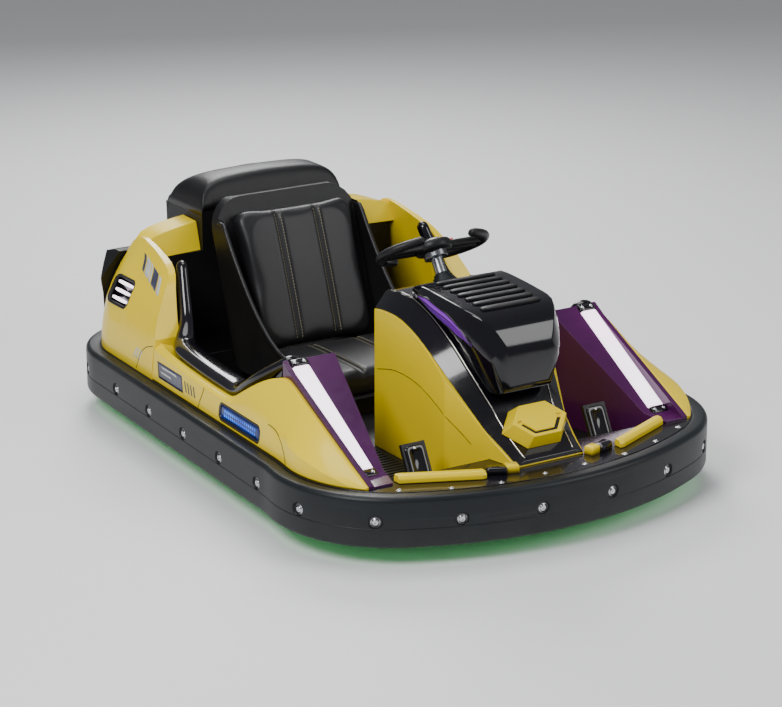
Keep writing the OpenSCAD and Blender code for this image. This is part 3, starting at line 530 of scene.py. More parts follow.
def skin(
    bm: BMesh, rings: Sequence[Sequence], foot: bool = True, tip: bool = True, loop: bool = False,
    closed: bool = True,
) -> None:
    """Join rings of points with faces.

    Args:
        bm: The mesh that gets the faces.
        rings: Points of each ring in metres, or a single point for a pole.
        foot: Whether the first ring gets a face.
        tip: Whether the last ring gets a face.
        loop: Whether the last ring joins the first one.
        closed: Whether each ring closes on itself.
    """
    rows = [[bm.verts.new(point) for point in ring] for ring in rings]
    for low, high in list(zip(rows, rows[1:])) + ([(rows[-1], rows[0])] if loop else []):
        count = max(len(low), len(high))
        for k in range(count if closed else count - 1):
            j = (k + 1) % count
            corners = (low[k % len(low)], low[j % len(low)], high[j % len(high)], high[k % len(high)])
            bm.faces.new(tuple(dict.fromkeys(corners)))
    if foot and len(rows[0]) > 1:
        bm.faces.new(rows[0][::-1])
    if tip and len(rows[-1]) > 1:
        bm.faces.new(rows[-1])


def turned(bm: BMesh, section: Iterable[Pair], sides: int = 24, unit: float = 1.0) -> None:
    """Turn a section round the Z axis, with a face at its foot.

    Args:
        bm: The mesh that gets the shape.
        section: Radius and height of each ring, from the foot to the tip.
        sides: Faces round the axis.
        unit: Size of one unit in metres.
    """
    rings = []
    for radius, height in section:
        angles = round_about(sides) if radius > 0 else [0.0]
        r = radius * unit
        rings.append([(r * math.cos(a), r * math.sin(a), height * unit) for a in angles])
    skin(bm, rings, tip=False)


def lathed(section: Iterable[Pair], sides: int) -> Mesh:
    """Mesh of a section in millimetres, turned round the Z axis."""
    return mesh_of(lambda bm: turned(bm, section, sides, MM))


def dome_bolt() -> Mesh:
    """Round-headed bolt on a washer, one unit across, standing on Z.

    Returns:
        The mesh.
    """
    section = [(0.5, 0.0), (0.5, 0.07), (0.47, 0.10), (0.36, 0.11), (0.36, 0.16), (0.33, 0.24), (0.26, 0.30),
               (0.14, 0.34), (0.13, 0.31), (0.0, 0.30)]
    return mesh_of(lambda bm: turned(bm, section, 20))


def hex_bolt() -> Mesh:
    """Hexagon bolt on a washer, one unit across, standing on Z.

    Returns:
        The mesh.
    """
    def build(bm: BMesh) -> None:
        """Add the washer and the head."""
        turned(bm, [(0.5, 0.0), (0.5, 0.08), (0.42, 0.10), (0.0, 0.10)], 20)
        turned(bm, [(0.36, 0.10), (0.36, 0.34), (0.31, 0.38), (0.0, 0.38)], 6)
    return mesh_of(build, smooth=False)


def washer() -> Mesh:
    """Cupped washer, one unit across and one high."""
    section = [(0.5, 0.0), (0.5, 0.7), (0.46, 1.0), (0.36, 1.0), (0.34, 0.6), (0.0, 0.6)]
    return mesh_of(lambda bm: turned(bm, section))


def soft_bar(corner: float) -> Mesh:
    """Bar of one unit each way, standing on Z, with its upper edges rounded.

    Args:
        corner: Share of the bar that the rounding takes.

    Returns:
        The mesh.
    """
    def build(bm: BMesh) -> None:
        """Round a cube.

        Args:
            bm: The mesh that gets the faces.
        """
        made = bmesh.ops.create_cube(bm, size=1.0)
        bmesh.ops.translate(bm, vec=(0, 0, 0.5), verts=made["verts"])
        edges = [e for e in bm.edges if max(v.co.z for v in e.verts) > 0.5]
        bmesh.ops.bevel(bm, geom=edges, offset=corner, segments=3, affect="EDGES", profile=0.6)
    return mesh_of(build)


def stitch() -> Mesh:
    """One stitch, a short thread that dips at both ends.

    Returns:
        The mesh.
    """
    rings = []
    for t in (-0.5, -0.25, 0.0, 0.25, 0.5):
        rise, radius = 0.30 - 1.4 * t * t, 0.17 * (1.0 - 1.6 * t * t)
        rings.append([(t, radius * math.cos(a), rise + radius * math.sin(a)) for a in round_about(6)])
    return mesh_of(lambda bm: skin(bm, rings))


def rounded_outline(width: float, height: float, radius: float, steps: int) -> list[Pair]:
    """Corners of a rounded rectangle, anticlockwise, in the units given.

    Args:
        width: Width of the rectangle.
        height: Its height.
        radius: Radius of its corners.
        steps: Faces in each corner.

    Returns:
        The points.
    """
    points = []
    for cx, cy, start in ((1, 1, 0), (-1, 1, 90), (-1, -1, 180), (1, -1, 270)):
        for k in range(steps + 1):
            a = math.radians(start + 90 * k / steps)
            points.append((cx * (width / 2 - radius) + radius * math.cos(a),
                           cy * (height / 2 - radius) + radius * math.sin(a)))
    return points


def plate(layers: Iterable[Layer], hole: bool = False, steps: int = 6) -> Mesh:
    """Rounded plate built from outlines at several heights.

    Args:
        layers: Width, height, corner radius and level of each outline in millimetres, from the foot upwards.
        hole: Whether the last outline stays open and joins the first one, as in a frame.
        steps: Faces in each corner.

    Returns:
        The mesh in metres.
    """
    rings = [[(x * MM, y * MM, level * MM) for x, y in rounded_outline(width, height, radius, steps)]
             for width, height, radius, level in layers]
    return mesh_of(lambda bm: skin(bm, rings, foot=not hole, tip=not hole, loop=hole))


def placed(mesh: Mesh, matrix: Matrix) -> Mesh:
    """Put a mesh in its place, with its faces outwards.

    Args:
        mesh: The mesh.
        matrix: Where it goes.

    Returns:
        The same mesh.
    """
    mesh.transform(matrix)
    if matrix.determinant() < 0:
        mesh.flip_normals()
    return mesh


def tube(path: Sequence[Vector], radius: float, sides: int) -> Mesh:
    """Round tube along a path, closed at both ends.

    Args:
        path: Its points in metres.
        radius: Its radius in millimetres.
        sides: Faces round it.

    Returns:
        The mesh.
    """
    rings = []
    side = None
    last = len(path) - 1
    for i, point in enumerate(path):
        ahead = (path[min(i + 1, last)] - path[max(i - 1, 0)]).normalized()
        if side is None:
            side = ahead.cross(Vector((0, 0, 1)))
            if side.length < 0.2:
                side = ahead.cross(Vector((0, 1, 0)))
        side = (side - ahead * side.dot(ahead)).normalized()
        other = ahead.cross(side)
        rings.append([point + radius * MM * (math.cos(a) * side + math.sin(a) * other)
                      for a in round_about(sides)])
    return mesh_of(lambda bm: skin(bm, rings))


def oval_sweep(path: Sequence[Vector], up: Sequence[Vector], sizes: Sequence[Pair], sides: int) -> Mesh:
    """Bar with an oval section along a path, its ends rounded off.

    Args:
        path: Its points in metres.
        up: Direction of the section's height at each point.
        sizes: Half width and half height in millimetres at each point.
        sides: Faces round it.

    Returns:
        The mesh.
    """
    rings = []
    last = len(path) - 1
    cap = [(math.sin(a), math.cos(a)) for a in (math.radians(b) for b in (0, 25, 50, 70, 85))]
    for i, (point, (w, h)) in enumerate(zip(path, sizes)):
        ahead = (path[min(i + 1, last)] - path[max(i - 1, 0)]).normalized()
        rise = (up[i] - ahead * up[i].dot(ahead)).normalized()
        side = rise.cross(ahead)
        ends = {0: [(-far * h, wide) for far, wide in reversed(cap)],
                last: [(far * h, wide) for far, wide in cap]}
        for along, wide in ends.get(i, [(0.0, 1.0)]):
            rings.append([
                point + (ahead * along + side * w * wide * math.cos(a) + rise * h * wide * math.sin(a)) * MM
                for a in round_about(sides)])
    return mesh_of(lambda bm: skin(bm, rings))


def smooth_line(points: Sequence[Sequence[float]], steps: int) -> list[tuple[float, ...]]:
    """Smooth curve through points.

    Args:
        points: The points, with any number of values each.
        steps: Steps from one point to the next.

    Returns:
        The points of the curve.
    """
    line = []
    last = len(points) - 1
    for i in range(last):
        around = (points[max(i - 1, 0)], points[i], points[i + 1], points[min(i + 2, last)])
        for t in (k / steps for k in range(steps)):
            line.append(tuple(
                0.5 * (2 * q + (r - p) * t + (2 * p - 5 * q + 4 * r - s) * t * t
                       + (3 * q - p - 3 * r + s) * t ** 3)
                for p, q, r, s in zip(*around)))
    line.append(tuple(points[-1]))
    return line


# Workshop


@dataclass
class Workshop:
    """Everything the sub-assemblies share: the frame, the finishes and the ways to make a piece."""

    frame: dict
    materials: dict[str, Material] = field(default_factory=dict)
    slots: dict[str, str] = field(default_factory=dict)
    shapes: dict[tuple, Object] = field(default_factory=dict)
    trees: dict[str, BVHTree] = field(default_factory=dict)
    follower: NodeTree | None = None

    def __post_init__(self) -> None:
        """Build the finishes and the path follower."""
        effects = {key: group_tree(*effect) for key, effect in EFFECTS.items()}
        for finish in FINISHES:
            self.materials[finish.name] = finish.make(effects)
            self.slots[finish.name] = finish.slot
        self.follower = follower_tree()

    def node(self, name: str) -> Object:
        """The CAD object of a node."""
        return self.frame["nodes"][name]

    def paint(self, name: str, finish: str) -> None:
        """Give a CAD node a finish through its material slots."""
        for slot in self.node(name).material_slots:
            slot.material = self.materials[finish]

    def piece(
        self, name: str, mesh: Mesh, finish: str, spot: Matrix | None = None, body: str = "chassis",
    ) -> Object:
        """Make an object of a mesh, with its finish and its body.

        Args:
            name: Name of the piece.
            mesh: Its mesh.
            finish: Name of its finish.
            spot: Where the mesh goes, or None where it is in place.
            body: The body it rides on.

        Returns:
            The object.
        """
        if spot is not None:
            placed(mesh, spot)
        mesh.name = name
        mesh.materials.clear()
        mesh.materials.append(self.materials[finish])
        thing = linked(name, mesh)
        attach(thing, body)
        LOG.info("%s: %d faces on %s", name, len(mesh.polygons), body)
        return thing

    def dressed(
        self, node: str, finish: str, width: float = 3.0, angle: float = 30.0, segments: int = 3,
        smooth: float = 32.0, shape: Callable[[Vector], Vector] | None = None,
    ) -> Object:
        """Copy a rigid node with soft edges, and let the copy stand for it.

        Args:
            node: The CAD node.
            finish: Name of its finish.
            width: Width of the rounded edges in millimetres.
            angle: Edges sharper than this are rounded.
            segments: Faces across a rounded edge.
            smooth: Faces that meet at less than this are shaded as one.
            shape: Moves each corner of the copy, in millimetres.

        Returns:
            The dressed piece.
        """
        bm = bmesh.new()
        bm.from_mesh(self.node(node).data)
        bmesh.ops.remove_doubles(bm, verts=bm.verts, dist=2e-5)
        if shape is not None:
            for vertex in bm.verts:
                vertex.co = shape(vertex.co / MM) * MM
        bmesh.ops.dissolve_limit(bm, angle_limit=math.radians(0.1), verts=bm.verts, edges=bm.edges)
        bmesh.ops.join_triangles(bm, faces=[f for f in bm.faces if len(f.verts) == 3], cmp_seam=False,
                                 cmp_sharp=False, cmp_uvs=False, cmp_vcols=False, cmp_materials=False,
                                 angle_face_threshold=math.radians(12),
                                 angle_shape_threshold=math.radians(80))
        mesh = bpy.data.meshes.new(node)
        bm.to_mesh(mesh)
        bm.free()
        mesh.shade_smooth()
        mesh.set_sharp_from_angle(angle=math.radians(smooth))
        steps = [EVEN_NORMALS]
        if width > 0:
            steps.insert(0, ("BEVEL", {
                "limit_method": "ANGLE", "angle_limit": math.radians(angle), "width": width * MM,
                "segments": segments, "use_clamp_overlap": True, "miter_outer": "MITER_ARC"}))
        final = finished(mesh, *steps)
        for polygon in final.polygons:
            polygon.use_smooth = True
        piece = self.piece(node + "_dressed", final, finish, body=self.node(node)["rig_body"])
        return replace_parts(piece, node)

    def hit(self, thing: Object, start: Point, way: Point) -> tuple[Vector, Vector] | None:
        """Where a ray meets an object.

        Args:
            thing: The object.
            start: Start of the ray in millimetres.
            way: Its direction.

        Returns:
            The place in metres and the outward normal there, or None.
        """
        if thing.name not in self.trees:
            bm = bmesh.new()
            bm.from_mesh(thing.data)
            self.trees[thing.name] = BVHTree.FromBMesh(bm)
            bm.free()
        direction = Vector(way).normalized()
        place, normal, _index, _distance = self.trees[thing.name].ray_cast(Vector(start) * MM, direction)
        if place is None:
            return None
        return place, -normal if normal.dot(direction) > 0 else normal

    def traced(
        self, under: Object, rays: Iterable[Ray], lift: float,
    ) -> tuple[list[Vector], list[Vector]]:
        """Points and normals where rays meet a piece.

        Args:
            under: The piece.
            rays: The rays.
            lift: Height over the surface in millimetres.

        Returns:
            The points in metres and the outward directions.
        """
        found = [hit for hit in (self.hit(under, *ray) for ray in rays) if hit is not None]
        return [place + out * lift * MM for place, out in found], [out for _place, out in found]

    def line(
        self, name: str, under: Object, rays: Iterable[Ray], radius: float, finish: str = "Panel gap",
        sides: int = 6, lift: float = 0.0,
    ) -> None:
        """Lay a thin tube along a piece, as a panel gap or a bright line.

        Args:
            name: Name of the new piece.
            under: The piece it lies on.
            rays: Rays that meet the piece along the line.
            radius: Radius in millimetres.
            finish: Name of the finish.
            sides: Faces round the tube.
            lift: Height over the piece in millimetres.
        """
        path, _out = self.traced(under, rays, lift)
        self.piece(name, tube(path, radius, sides), finish)

    def patch(
        self, name: str, under: Object, area: Callable[[float, float], Ray], finish: str,
        steps: tuple[int, int], lift: float,
    ) -> None:
        """Lay a thin skin on a piece, such as a decal or a light.

        Args:
            name: Name of the new piece.
            under: The piece it lies on.
            area: Gives a ray for two numbers from 0 to 1.
            finish: Name of the finish.
            steps: Faces each way.
            lift: Height over the piece in millimetres.
        """
        nu, nv = steps
        grid = [[self.hit(under, *area(i / nu, j / nv)) for j in range(nv + 1)] for i in range(nu + 1)]
        if any(hit is None for row in grid for hit in row):
            LOG.warning("%s misses its surface", name)
            return

        def build(bm: BMesh) -> None:
            """Add an upper sheet, a lower one inside the piece, and the rim between them.

            Args:
                bm: The mesh that gets the faces.
            """
            top, low = ([[bm.verts.new(place + out * height * MM) for place, out in row] for row in grid]
                        for height in (lift, -SKIRT))
            for i in range(nu):
                for j in range(nv):
                    bm.faces.new((top[i][j], top[i + 1][j], top[i + 1][j + 1], top[i][j + 1]))
                    bm.faces.new((low[i][j], low[i][j + 1], low[i + 1][j + 1], low[i + 1][j]))
            rim = [(i, 0) for i in range(nu)] + [(nu, j) for j in range(nv)]
            rim += [(i, nv) for i in range(nu, 0, -1)] + [(0, j) for j in range(nv, 0, -1)]
            for (a, b), (c, d) in zip(rim, rim[1:] + rim[:1]):
                bm.faces.new((top[a][b], low[a][b], low[c][d], top[c][d]))
        self.piece(name, mesh_of(build), finish)

    def shape(self, make: Callable[..., Mesh], *sizes: float) -> Object:
        """A small shape that the path follower repeats. It is made once and removed at the end.

        Args:
            make: The function that makes the shape.
            sizes: What the function takes.

        Returns:
            The object that holds the shape.
        """
        key = (make.__name__, *sizes)
        if key not in self.shapes:
            self.shapes[key] = linked(make.__name__, make(*sizes))
            self.shapes[key].hide_render = True
        return self.shapes[key]

    def along(
        self, name: str, path: Sequence[Vector], out: Sequence[Vector], shape: tuple, spacing: float,
        size: Point, finish: str = "Bolt steel", body: str = "chassis", closed: bool = False,
    ) -> None:
        """Repeat a small shape along a path with Geometry Nodes.

        Args:
            name: Name of the piece.
            path: Points of the path in metres.
            out: The outward direction at each point.
            shape: The function that makes the shape, and its sizes.
            spacing: Distance between two shapes in millimetres, or 0 for one at each point of the path.
            size: Scale of the shape in millimetres along the path, across it and outward.
            finish: Name of the finish.
            body: The body that the piece rides on.
            closed: Whether the path closes on itself.
        """
        count = len(path)
        edges = [(i, (i + 1) % count) for i in range(count if closed else count - 1)]
        mesh = bpy.data.meshes.new(name)
        mesh.from_pydata([tuple(p) for p in path], edges, [])
        facing = mesh.attributes.new("out", "FLOAT_VECTOR", "POINT")
        facing.data.foreach_set("vector", [c for v in out for c in v])
        holder = linked("holder", mesh)
        modifier = holder.modifiers.new("Follow", "NODES")
        modifier.node_group = self.follower
        values = {"Element": self.shape(*shape), "Spacing": spacing * MM, "Size": tuple(s * MM for s in size),
                  "Finish": self.materials[finish]}
        for item in self.follower.interface.items_tree:
            if item.item_type == "SOCKET" and item.in_out == "INPUT" and item.name in values:
                modifier[item.identifier] = values[item.name]
        self.piece(name, baked(holder), finish, body=body)

    def row(
        self, name: str, spot: Matrix, points: Sequence[Point], shape: tuple, spacing: float, size: Point,
        finish: str = "Bolt steel",
    ) -> None:
        """Repeat a small shape along points in a frame, each standing on the frame's Z axis.

        Args:
            name: Name of the piece.
            spot: The frame.
            points: The points in millimetres.
            shape: The function that makes the shape, and its sizes.
            spacing: Distance between two shapes in millimetres, or 0 for one at each point.
            size: Scale of the shape in millimetres along the points, across them and outward.
            finish: Name of the finish.
        """
        path = [spot @ (Vector(point) * MM) for point in points]
        self.along(name, path, [outward(spot)] * len(path), shape, spacing, size, finish)

    def tidy_up(self) -> None:
        """Remove the shapes that the follower used."""
        for thing in self.shapes.values():
            bpy.data.objects.remove(thing)
        self.shapes.clear()


@dataclass(frozen=True)
class Mark:
    """Slanted flat field on both flanks, in millimetres."""

    name: str
    x: float
    wide: float
    lean: float
    z: float
    tall: float
    finish: str
    steps: tuple[int, int] = (2, 6)
    lift: float = 0.35
    slope: float = 0.0

    def lay(self, shop: Workshop, side: Side, under: Object) -> None:
        """Lay the field on a piece.

        Args:
            shop: The workshop.
            side: The side of the car.
            under: The piece it lies on.
        """
        def area(u: float, v: float) -> Ray:
            """Ray onto a place of the field."""
            x = self.x + self.wide * u + self.lean * v
            return side.ray(x, self.z + self.tall * v + self.slope * x)
        shop.patch(f"{self.name}_{side.word}", under, area, self.finish, self.steps, self.lift)


# Sub-assemblies


@dataclass
class BumperBelt:
    """Rubber ring with its bolts, the rail behind it and the light strip under it."""

    length: float = 1740
    width: float = 1230
    bow_r: float = 980
    corner_r: float = 320
    rear_r: float = 250
    waist_angle: float = 10
    waist_r: float = 500
    taper: float = 2.5
    bolt_level: float = 118
    bolt_size: Point = (24, 24, 14.88)
    bolt_gap: float = 212
    seat_size: Point = (33, 33, 1.8)
    cup_r: float = 17
    cup_depth: float = 6
    low: float = 50
    high: float = 180
    edge: float = 14
    thick: float = 40
    gap: float = 0.3

    def build(self, shop: Workshop) -> None:
        """Dress the ring and add its bolts and the strip.

        Args:
            shop: The workshop.
        """
        spots = self._bolt_spots()
        self._ring(shop, spots)
        shop.dressed("bumper_rail", "Black frame paint", width=1)
        shop.dressed("underglow_strip", "Green light cover", width=2)
        out = [way for _place, way in spots]
        for name, depth, shape, size, finish in (
            ("bumper_bolts", self.cup_depth, dome_bolt, self.bolt_size, "Bolt steel"),
            ("bumper_bolt_seats", self.cup_depth + 0.6, washer, self.seat_size, "Gloss black plastic"),
        ):
            path = [place - way * depth * MM for place, way in spots]
            shop.along(name, path, out, (shape,), 0, size, finish)

    def _outline(self, inset: float, fine: int = 1) -> list[Pair]:
        """The closed outline in millimetres, drawn in by inset, from the nose to the left.

        Args:
            inset: Distance from the outer face.
            fine: How many times finer the arcs are.

        Returns:
            The points.
        """
        reach = self.bow_r - self.corner_r
        bow = math.degrees(math.asin((self.width / 2 - self.corner_r) / reach))
        front = (self.length / 2 - self.bow_r, 0.0)
        corner = self._away(front, reach, bow)
        bend = 90 + self.waist_angle
        waist = self._away(corner, self.corner_r + self.waist_r, bend)
        sin_t, cos_t = math.sin(math.radians(self.taper)), math.cos(math.radians(self.taper))
        level = -sin_t * waist[0] + cos_t * waist[1] - self.waist_r
        rear_x = self.rear_r - self.length / 2
        rear = (rear_x, (level - self.rear_r + sin_t * rear_x) / cos_t)
        half = self._arc(front, self.bow_r - inset, 0, bow, 8 * fine)
        half += self._arc(corner, self.corner_r - inset, bow + 4, bend, 8 * fine)
        half += self._arc(waist, self.waist_r + inset, 267 + self.waist_angle, 270 + self.taper, 3 * fine)
        (x0, y0), (x1, y1) = half[-1], self._away(rear, self.rear_r - inset, 90 + self.taper)
        half += [(x0 + (x1 - x0) * k / 24, y0 + (y1 - y0) * k / 24) for k in range(1, 24)]
        half += self._arc(rear, self.rear_r - inset, 90 + self.taper, 180, 8 * fine)
        end, last = half[-1]
        half += [(end, last * (1 - k / 6)) for k in range(1, 6)]
        return half + [(end, 0.0)] + [(x, -y) for x, y in reversed(half) if y > 1.0]

    @staticmethod
    def _away(centre: Pair, r: float, angle: float) -> Pair:
        """Point at a distance from a centre, in the direction of an angle in degrees."""
        return centre[0] + r * math.cos(math.radians(angle)), centre[1] + r * math.sin(math.radians(angle))

    def _arc(self, centre: Pair, r: float, a0: float, a1: float, steps: int) -> list[Pair]:
        """Points of an arc between two angles in degrees."""
        return [self._away(centre, r, a0 + (a1 - a0) * i / steps) for i in range(steps + 1)]

    def _ring(self, shop: Workshop, spots: Sequence[tuple[Vector, Vector]]) -> None:
        """The rubber ring, sampled finely, with a parting groove and the bolts' recesses cut in.

        Args:
            shop: The workshop.
            spots: Places and outward directions of the bolts.
        """
        low, high, edge, inner = self.low, self.high, self.edge, self.thick
        quarter = [math.radians(15 * k) for k in range(7)]
        section = [(inner, low + 0.3), (edge, low + 0.3)]
        section += [(edge - edge * math.sin(a), low + edge - edge * math.cos(a)) for a in quarter[1:]]
        section += [(0.0, low + 30), (0.0, low + 48)]
        section += [(0.0, low + 50), (1.1, low + 51.2), (0.0, low + 52.4)]
        section += [(0.0, low + 84), (0.0, high - 24)]
        section += [(edge - edge * math.cos(a), high - edge + edge * math.sin(a)) for a in quarter]
        section += [(inner - 6, high), (inner, high - 2.5)]
        rings = [[(x * MM, y * MM, z * MM) for x, y in self._outline(inset + self.gap, 3)]
                 for inset, z in section]
        mesh = mesh_of(lambda bm: skin(bm, rings, foot=False, tip=False, loop=True))
        mesh.set_sharp_from_angle(angle=math.radians(60))
        knife = linked("knife", self._cups(spots))
        cut = ("BOOLEAN", {"operation": "DIFFERENCE", "solver": "EXACT", "object": knife})
        final = finished(mesh, cut, EVEN_NORMALS)
        bpy.data.objects.remove(knife)
        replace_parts(shop.piece("bumper_band", final, "Bumper rubber"), "bumper_ring")

    def _bolt_spots(self) -> list[tuple[Vector, Vector]]:
        """Places of the bolts on the outer face, with the outward directions.

        Returns:
            Each place in metres and its direction.
        """
        line = [Vector((x * MM, y * MM, self.bolt_level * MM)) for x, y in self._outline(0)]
        steps = list(zip(line, line[1:] + line[:1]))
        whole = sum((b - a).length for a, b in steps)
        count = round(whole / (self.bolt_gap * MM))
        spots = []
        for k in range(count):
            left = whole * (k + 0.5) / count
            for a, b in steps:
                if left <= (b - a).length:
                    out = (b - a).normalized().cross(Vector((0, 0, 1)))
                    spots.append((a.lerp(b, left / (b - a).length), out))
                    break
                left -= (b - a).length
        return spots

    def _cups(self, spots: Sequence[tuple[Vector, Vector]]) -> Mesh:
        """Slightly flared plugs that cut the bolts' recesses.

        Args:
            spots: Places and outward directions of the bolts.

        Returns:
            The mesh.
        """
        r = self.cup_r
        section = [(r, -self.cup_depth), (r + 0.6, -1.2), (r + 3.5, 3), (0, 3)]

        def build(bm: BMesh) -> None:
            """Add one plug at each place.

            Args:
                bm: The mesh that gets the faces.
            """
            for place, out in spots:
                before = len(bm.verts)
                turned(bm, section, 28, MM)
                bm.verts.ensure_lookup_table()
                facing = out.to_track_quat("Z", "Y").to_matrix().to_4x4()
                bmesh.ops.transform(bm, matrix=Matrix.Translation(place) @ facing, verts=bm.verts[before:])
        return mesh_of(build)


@dataclass
class DeckAndFloor:
    """Deck plate, floor pan with its ribbed mats, and the frame under them."""

    mat_x: Pair = (225, 520)
    mat_y: Pair = (182, 300)
    mat_z: float = 88.05
    rib_z: float = 90
    rib_gap: float = 16
    bolts: tuple[Pair, ...] = ((806, 60), (803, 180), (772, 300), (716, 420))
    deck_z: float = 180
    bolt_gap: float = 121

    def build(self, shop: Workshop) -> None:
        """Dress the floor and add mats and deck bolts.

        Args:
            shop: The workshop.
        """
        shop.dressed("deck_plate", "Gloss black plastic", width=1)
        shop.dressed("floor_pan", "Grained black plastic", width=2)
        shop.dressed("chassis_frame", "Black frame paint", width=2)
        length, width = self.mat_x[1] - self.mat_x[0], self.mat_y[1] - self.mat_y[0]
        sheet = [(length + 24, width + 20, 12, 0), (length + 24, width + 20, 12, 1.6),
                 (length + 20, width + 16, 10, 2.2)]
        still = Matrix.Identity(4)
        for side in Side:
            y = side.value * sum(self.mat_y) / 2
            spot = shift(sum(self.mat_x) / 2, y, self.mat_z)
            shop.piece(f"foot_mat_{side.word}", plate(sheet), "Bumper rubber", spot)
            shop.row(f"foot_mat_ribs_{side.word}", still, [(x, y, self.rib_z) for x in self.mat_x],
                     (soft_bar, 0.3), self.rib_gap, (7, width, 2.6), "Bumper rubber")
        for side in Side:
            points = [(x, side.value * y, self.deck_z) for x, y in self.bolts]
            shop.row(f"deck_bolts_{side.word}", still, points, (dome_bolt,), self.bolt_gap, (15, 15, 9))


@dataclass
class SidePods:
    """Side pods with their lamps, decals and panel lines."""

    lamp: Point = (170, 547.2, 212)
    lamp_turn: Point = (-84, 0, 2.5)
    bezel: tuple[Layer, ...] = (
        (228, 48, 17, -8.8), (228, 48, 17, -0.5), (225, 45, 15, 0.6), (216, 36, 12, -0.4), (213, 33, 10, -3),
        (212, 32, 10, -8.8))
    lens: tuple[Layer, ...] = (
        (214, 34, 11, -8.8), (214, 34, 11, -3.4), (210, 30, 9, -2.0), (198, 24, 6, -1.2))
    ribs: tuple[float, float, Point] = (88, 11, (2, 24, 1.3))
    cells: tuple[float, float, Point] = (82.5, 10.98, (6.5, 7.5, 1.6))
    light_z: float = -2.4
    lights: tuple[tuple[str, float], ...] = (("low", -5.5), ("high", 5.5))
    marks: tuple[Mark, ...] = (
        Mark("sill_flash", -300, 150, -16, 197, 42, "Smoked decal", (20, 6)),
        *(Mark(f"sill_stripe_{i}", -136 + 17 * i, 7, -14, 204, 26, "Smoked decal") for i in range(4)),
        Mark("sill_bar_0", -284, 62, -8, 212, 5, "Pale decal", (12, 2), 0.6),
        Mark("sill_bar_1", -284, 90, -8, 226, 5, "Pale decal", (12, 2), 0.6))
    gaps: tuple[tuple[Pair, ...], ...] = (
        ((318, 252), (350, 249), (384, 238), (410, 218), (428, 196), (434, 184)),
        ((-60, 183), (-52, 205), (-40, 228), (-34, 246)))

    def build(self, shop: Workshop) -> None:
        """Dress both pods.

        Args:
            shop: The workshop.
        """
        for side in Side:
            pod = shop.dressed(f"side_pod_{side.word}", "Yellow body plastic", width=2.5, angle=34, smooth=26)
            self._lamp(shop, side)
            for mark in self.marks:
                mark.lay(shop, side, pod)
            for i, points in enumerate(self.gaps):
                rays = [side.ray(x, z) for x, z in smooth_line(points, 4)]
                shop.line(f"pod_gap_{i}_{side.word}", pod, rays, 1.1)

    def _lamp(self, shop: Workshop, side: Side) -> None:
        """Blue lamp in its pocket, behind a black bezel, with ribs and two rows of small lights.

        Args:
            shop: The workshop.
            side: The side of the car.
        """
        lean = Euler([math.radians(a) for a in self.lamp_turn], "XYZ").to_matrix().to_4x4()
        spot = side.mirror @ shift(*self.lamp) @ lean
        shop.piece(f"lamp_bezel_{side.word}", plate(self.bezel, hole=True), "Gloss black plastic", spot)
        shop.piece(f"lamp_lens_{side.word}", plate(self.lens), "Blue lamp lens", spot)
        rows = [("ribs", 0.0, self.ribs, "Blue lamp lens")]
        rows += [("lights_" + word, y, self.cells, "Blue lamp light") for word, y in self.lights]
        for word, y, (reach, spacing, size), finish in rows:
            ends = [(x, y, self.light_z) for x in (-reach, reach)]
            shop.row(f"lamp_{word}_{side.word}", spot, ends, (soft_bar, 0.3), spacing, size, finish)


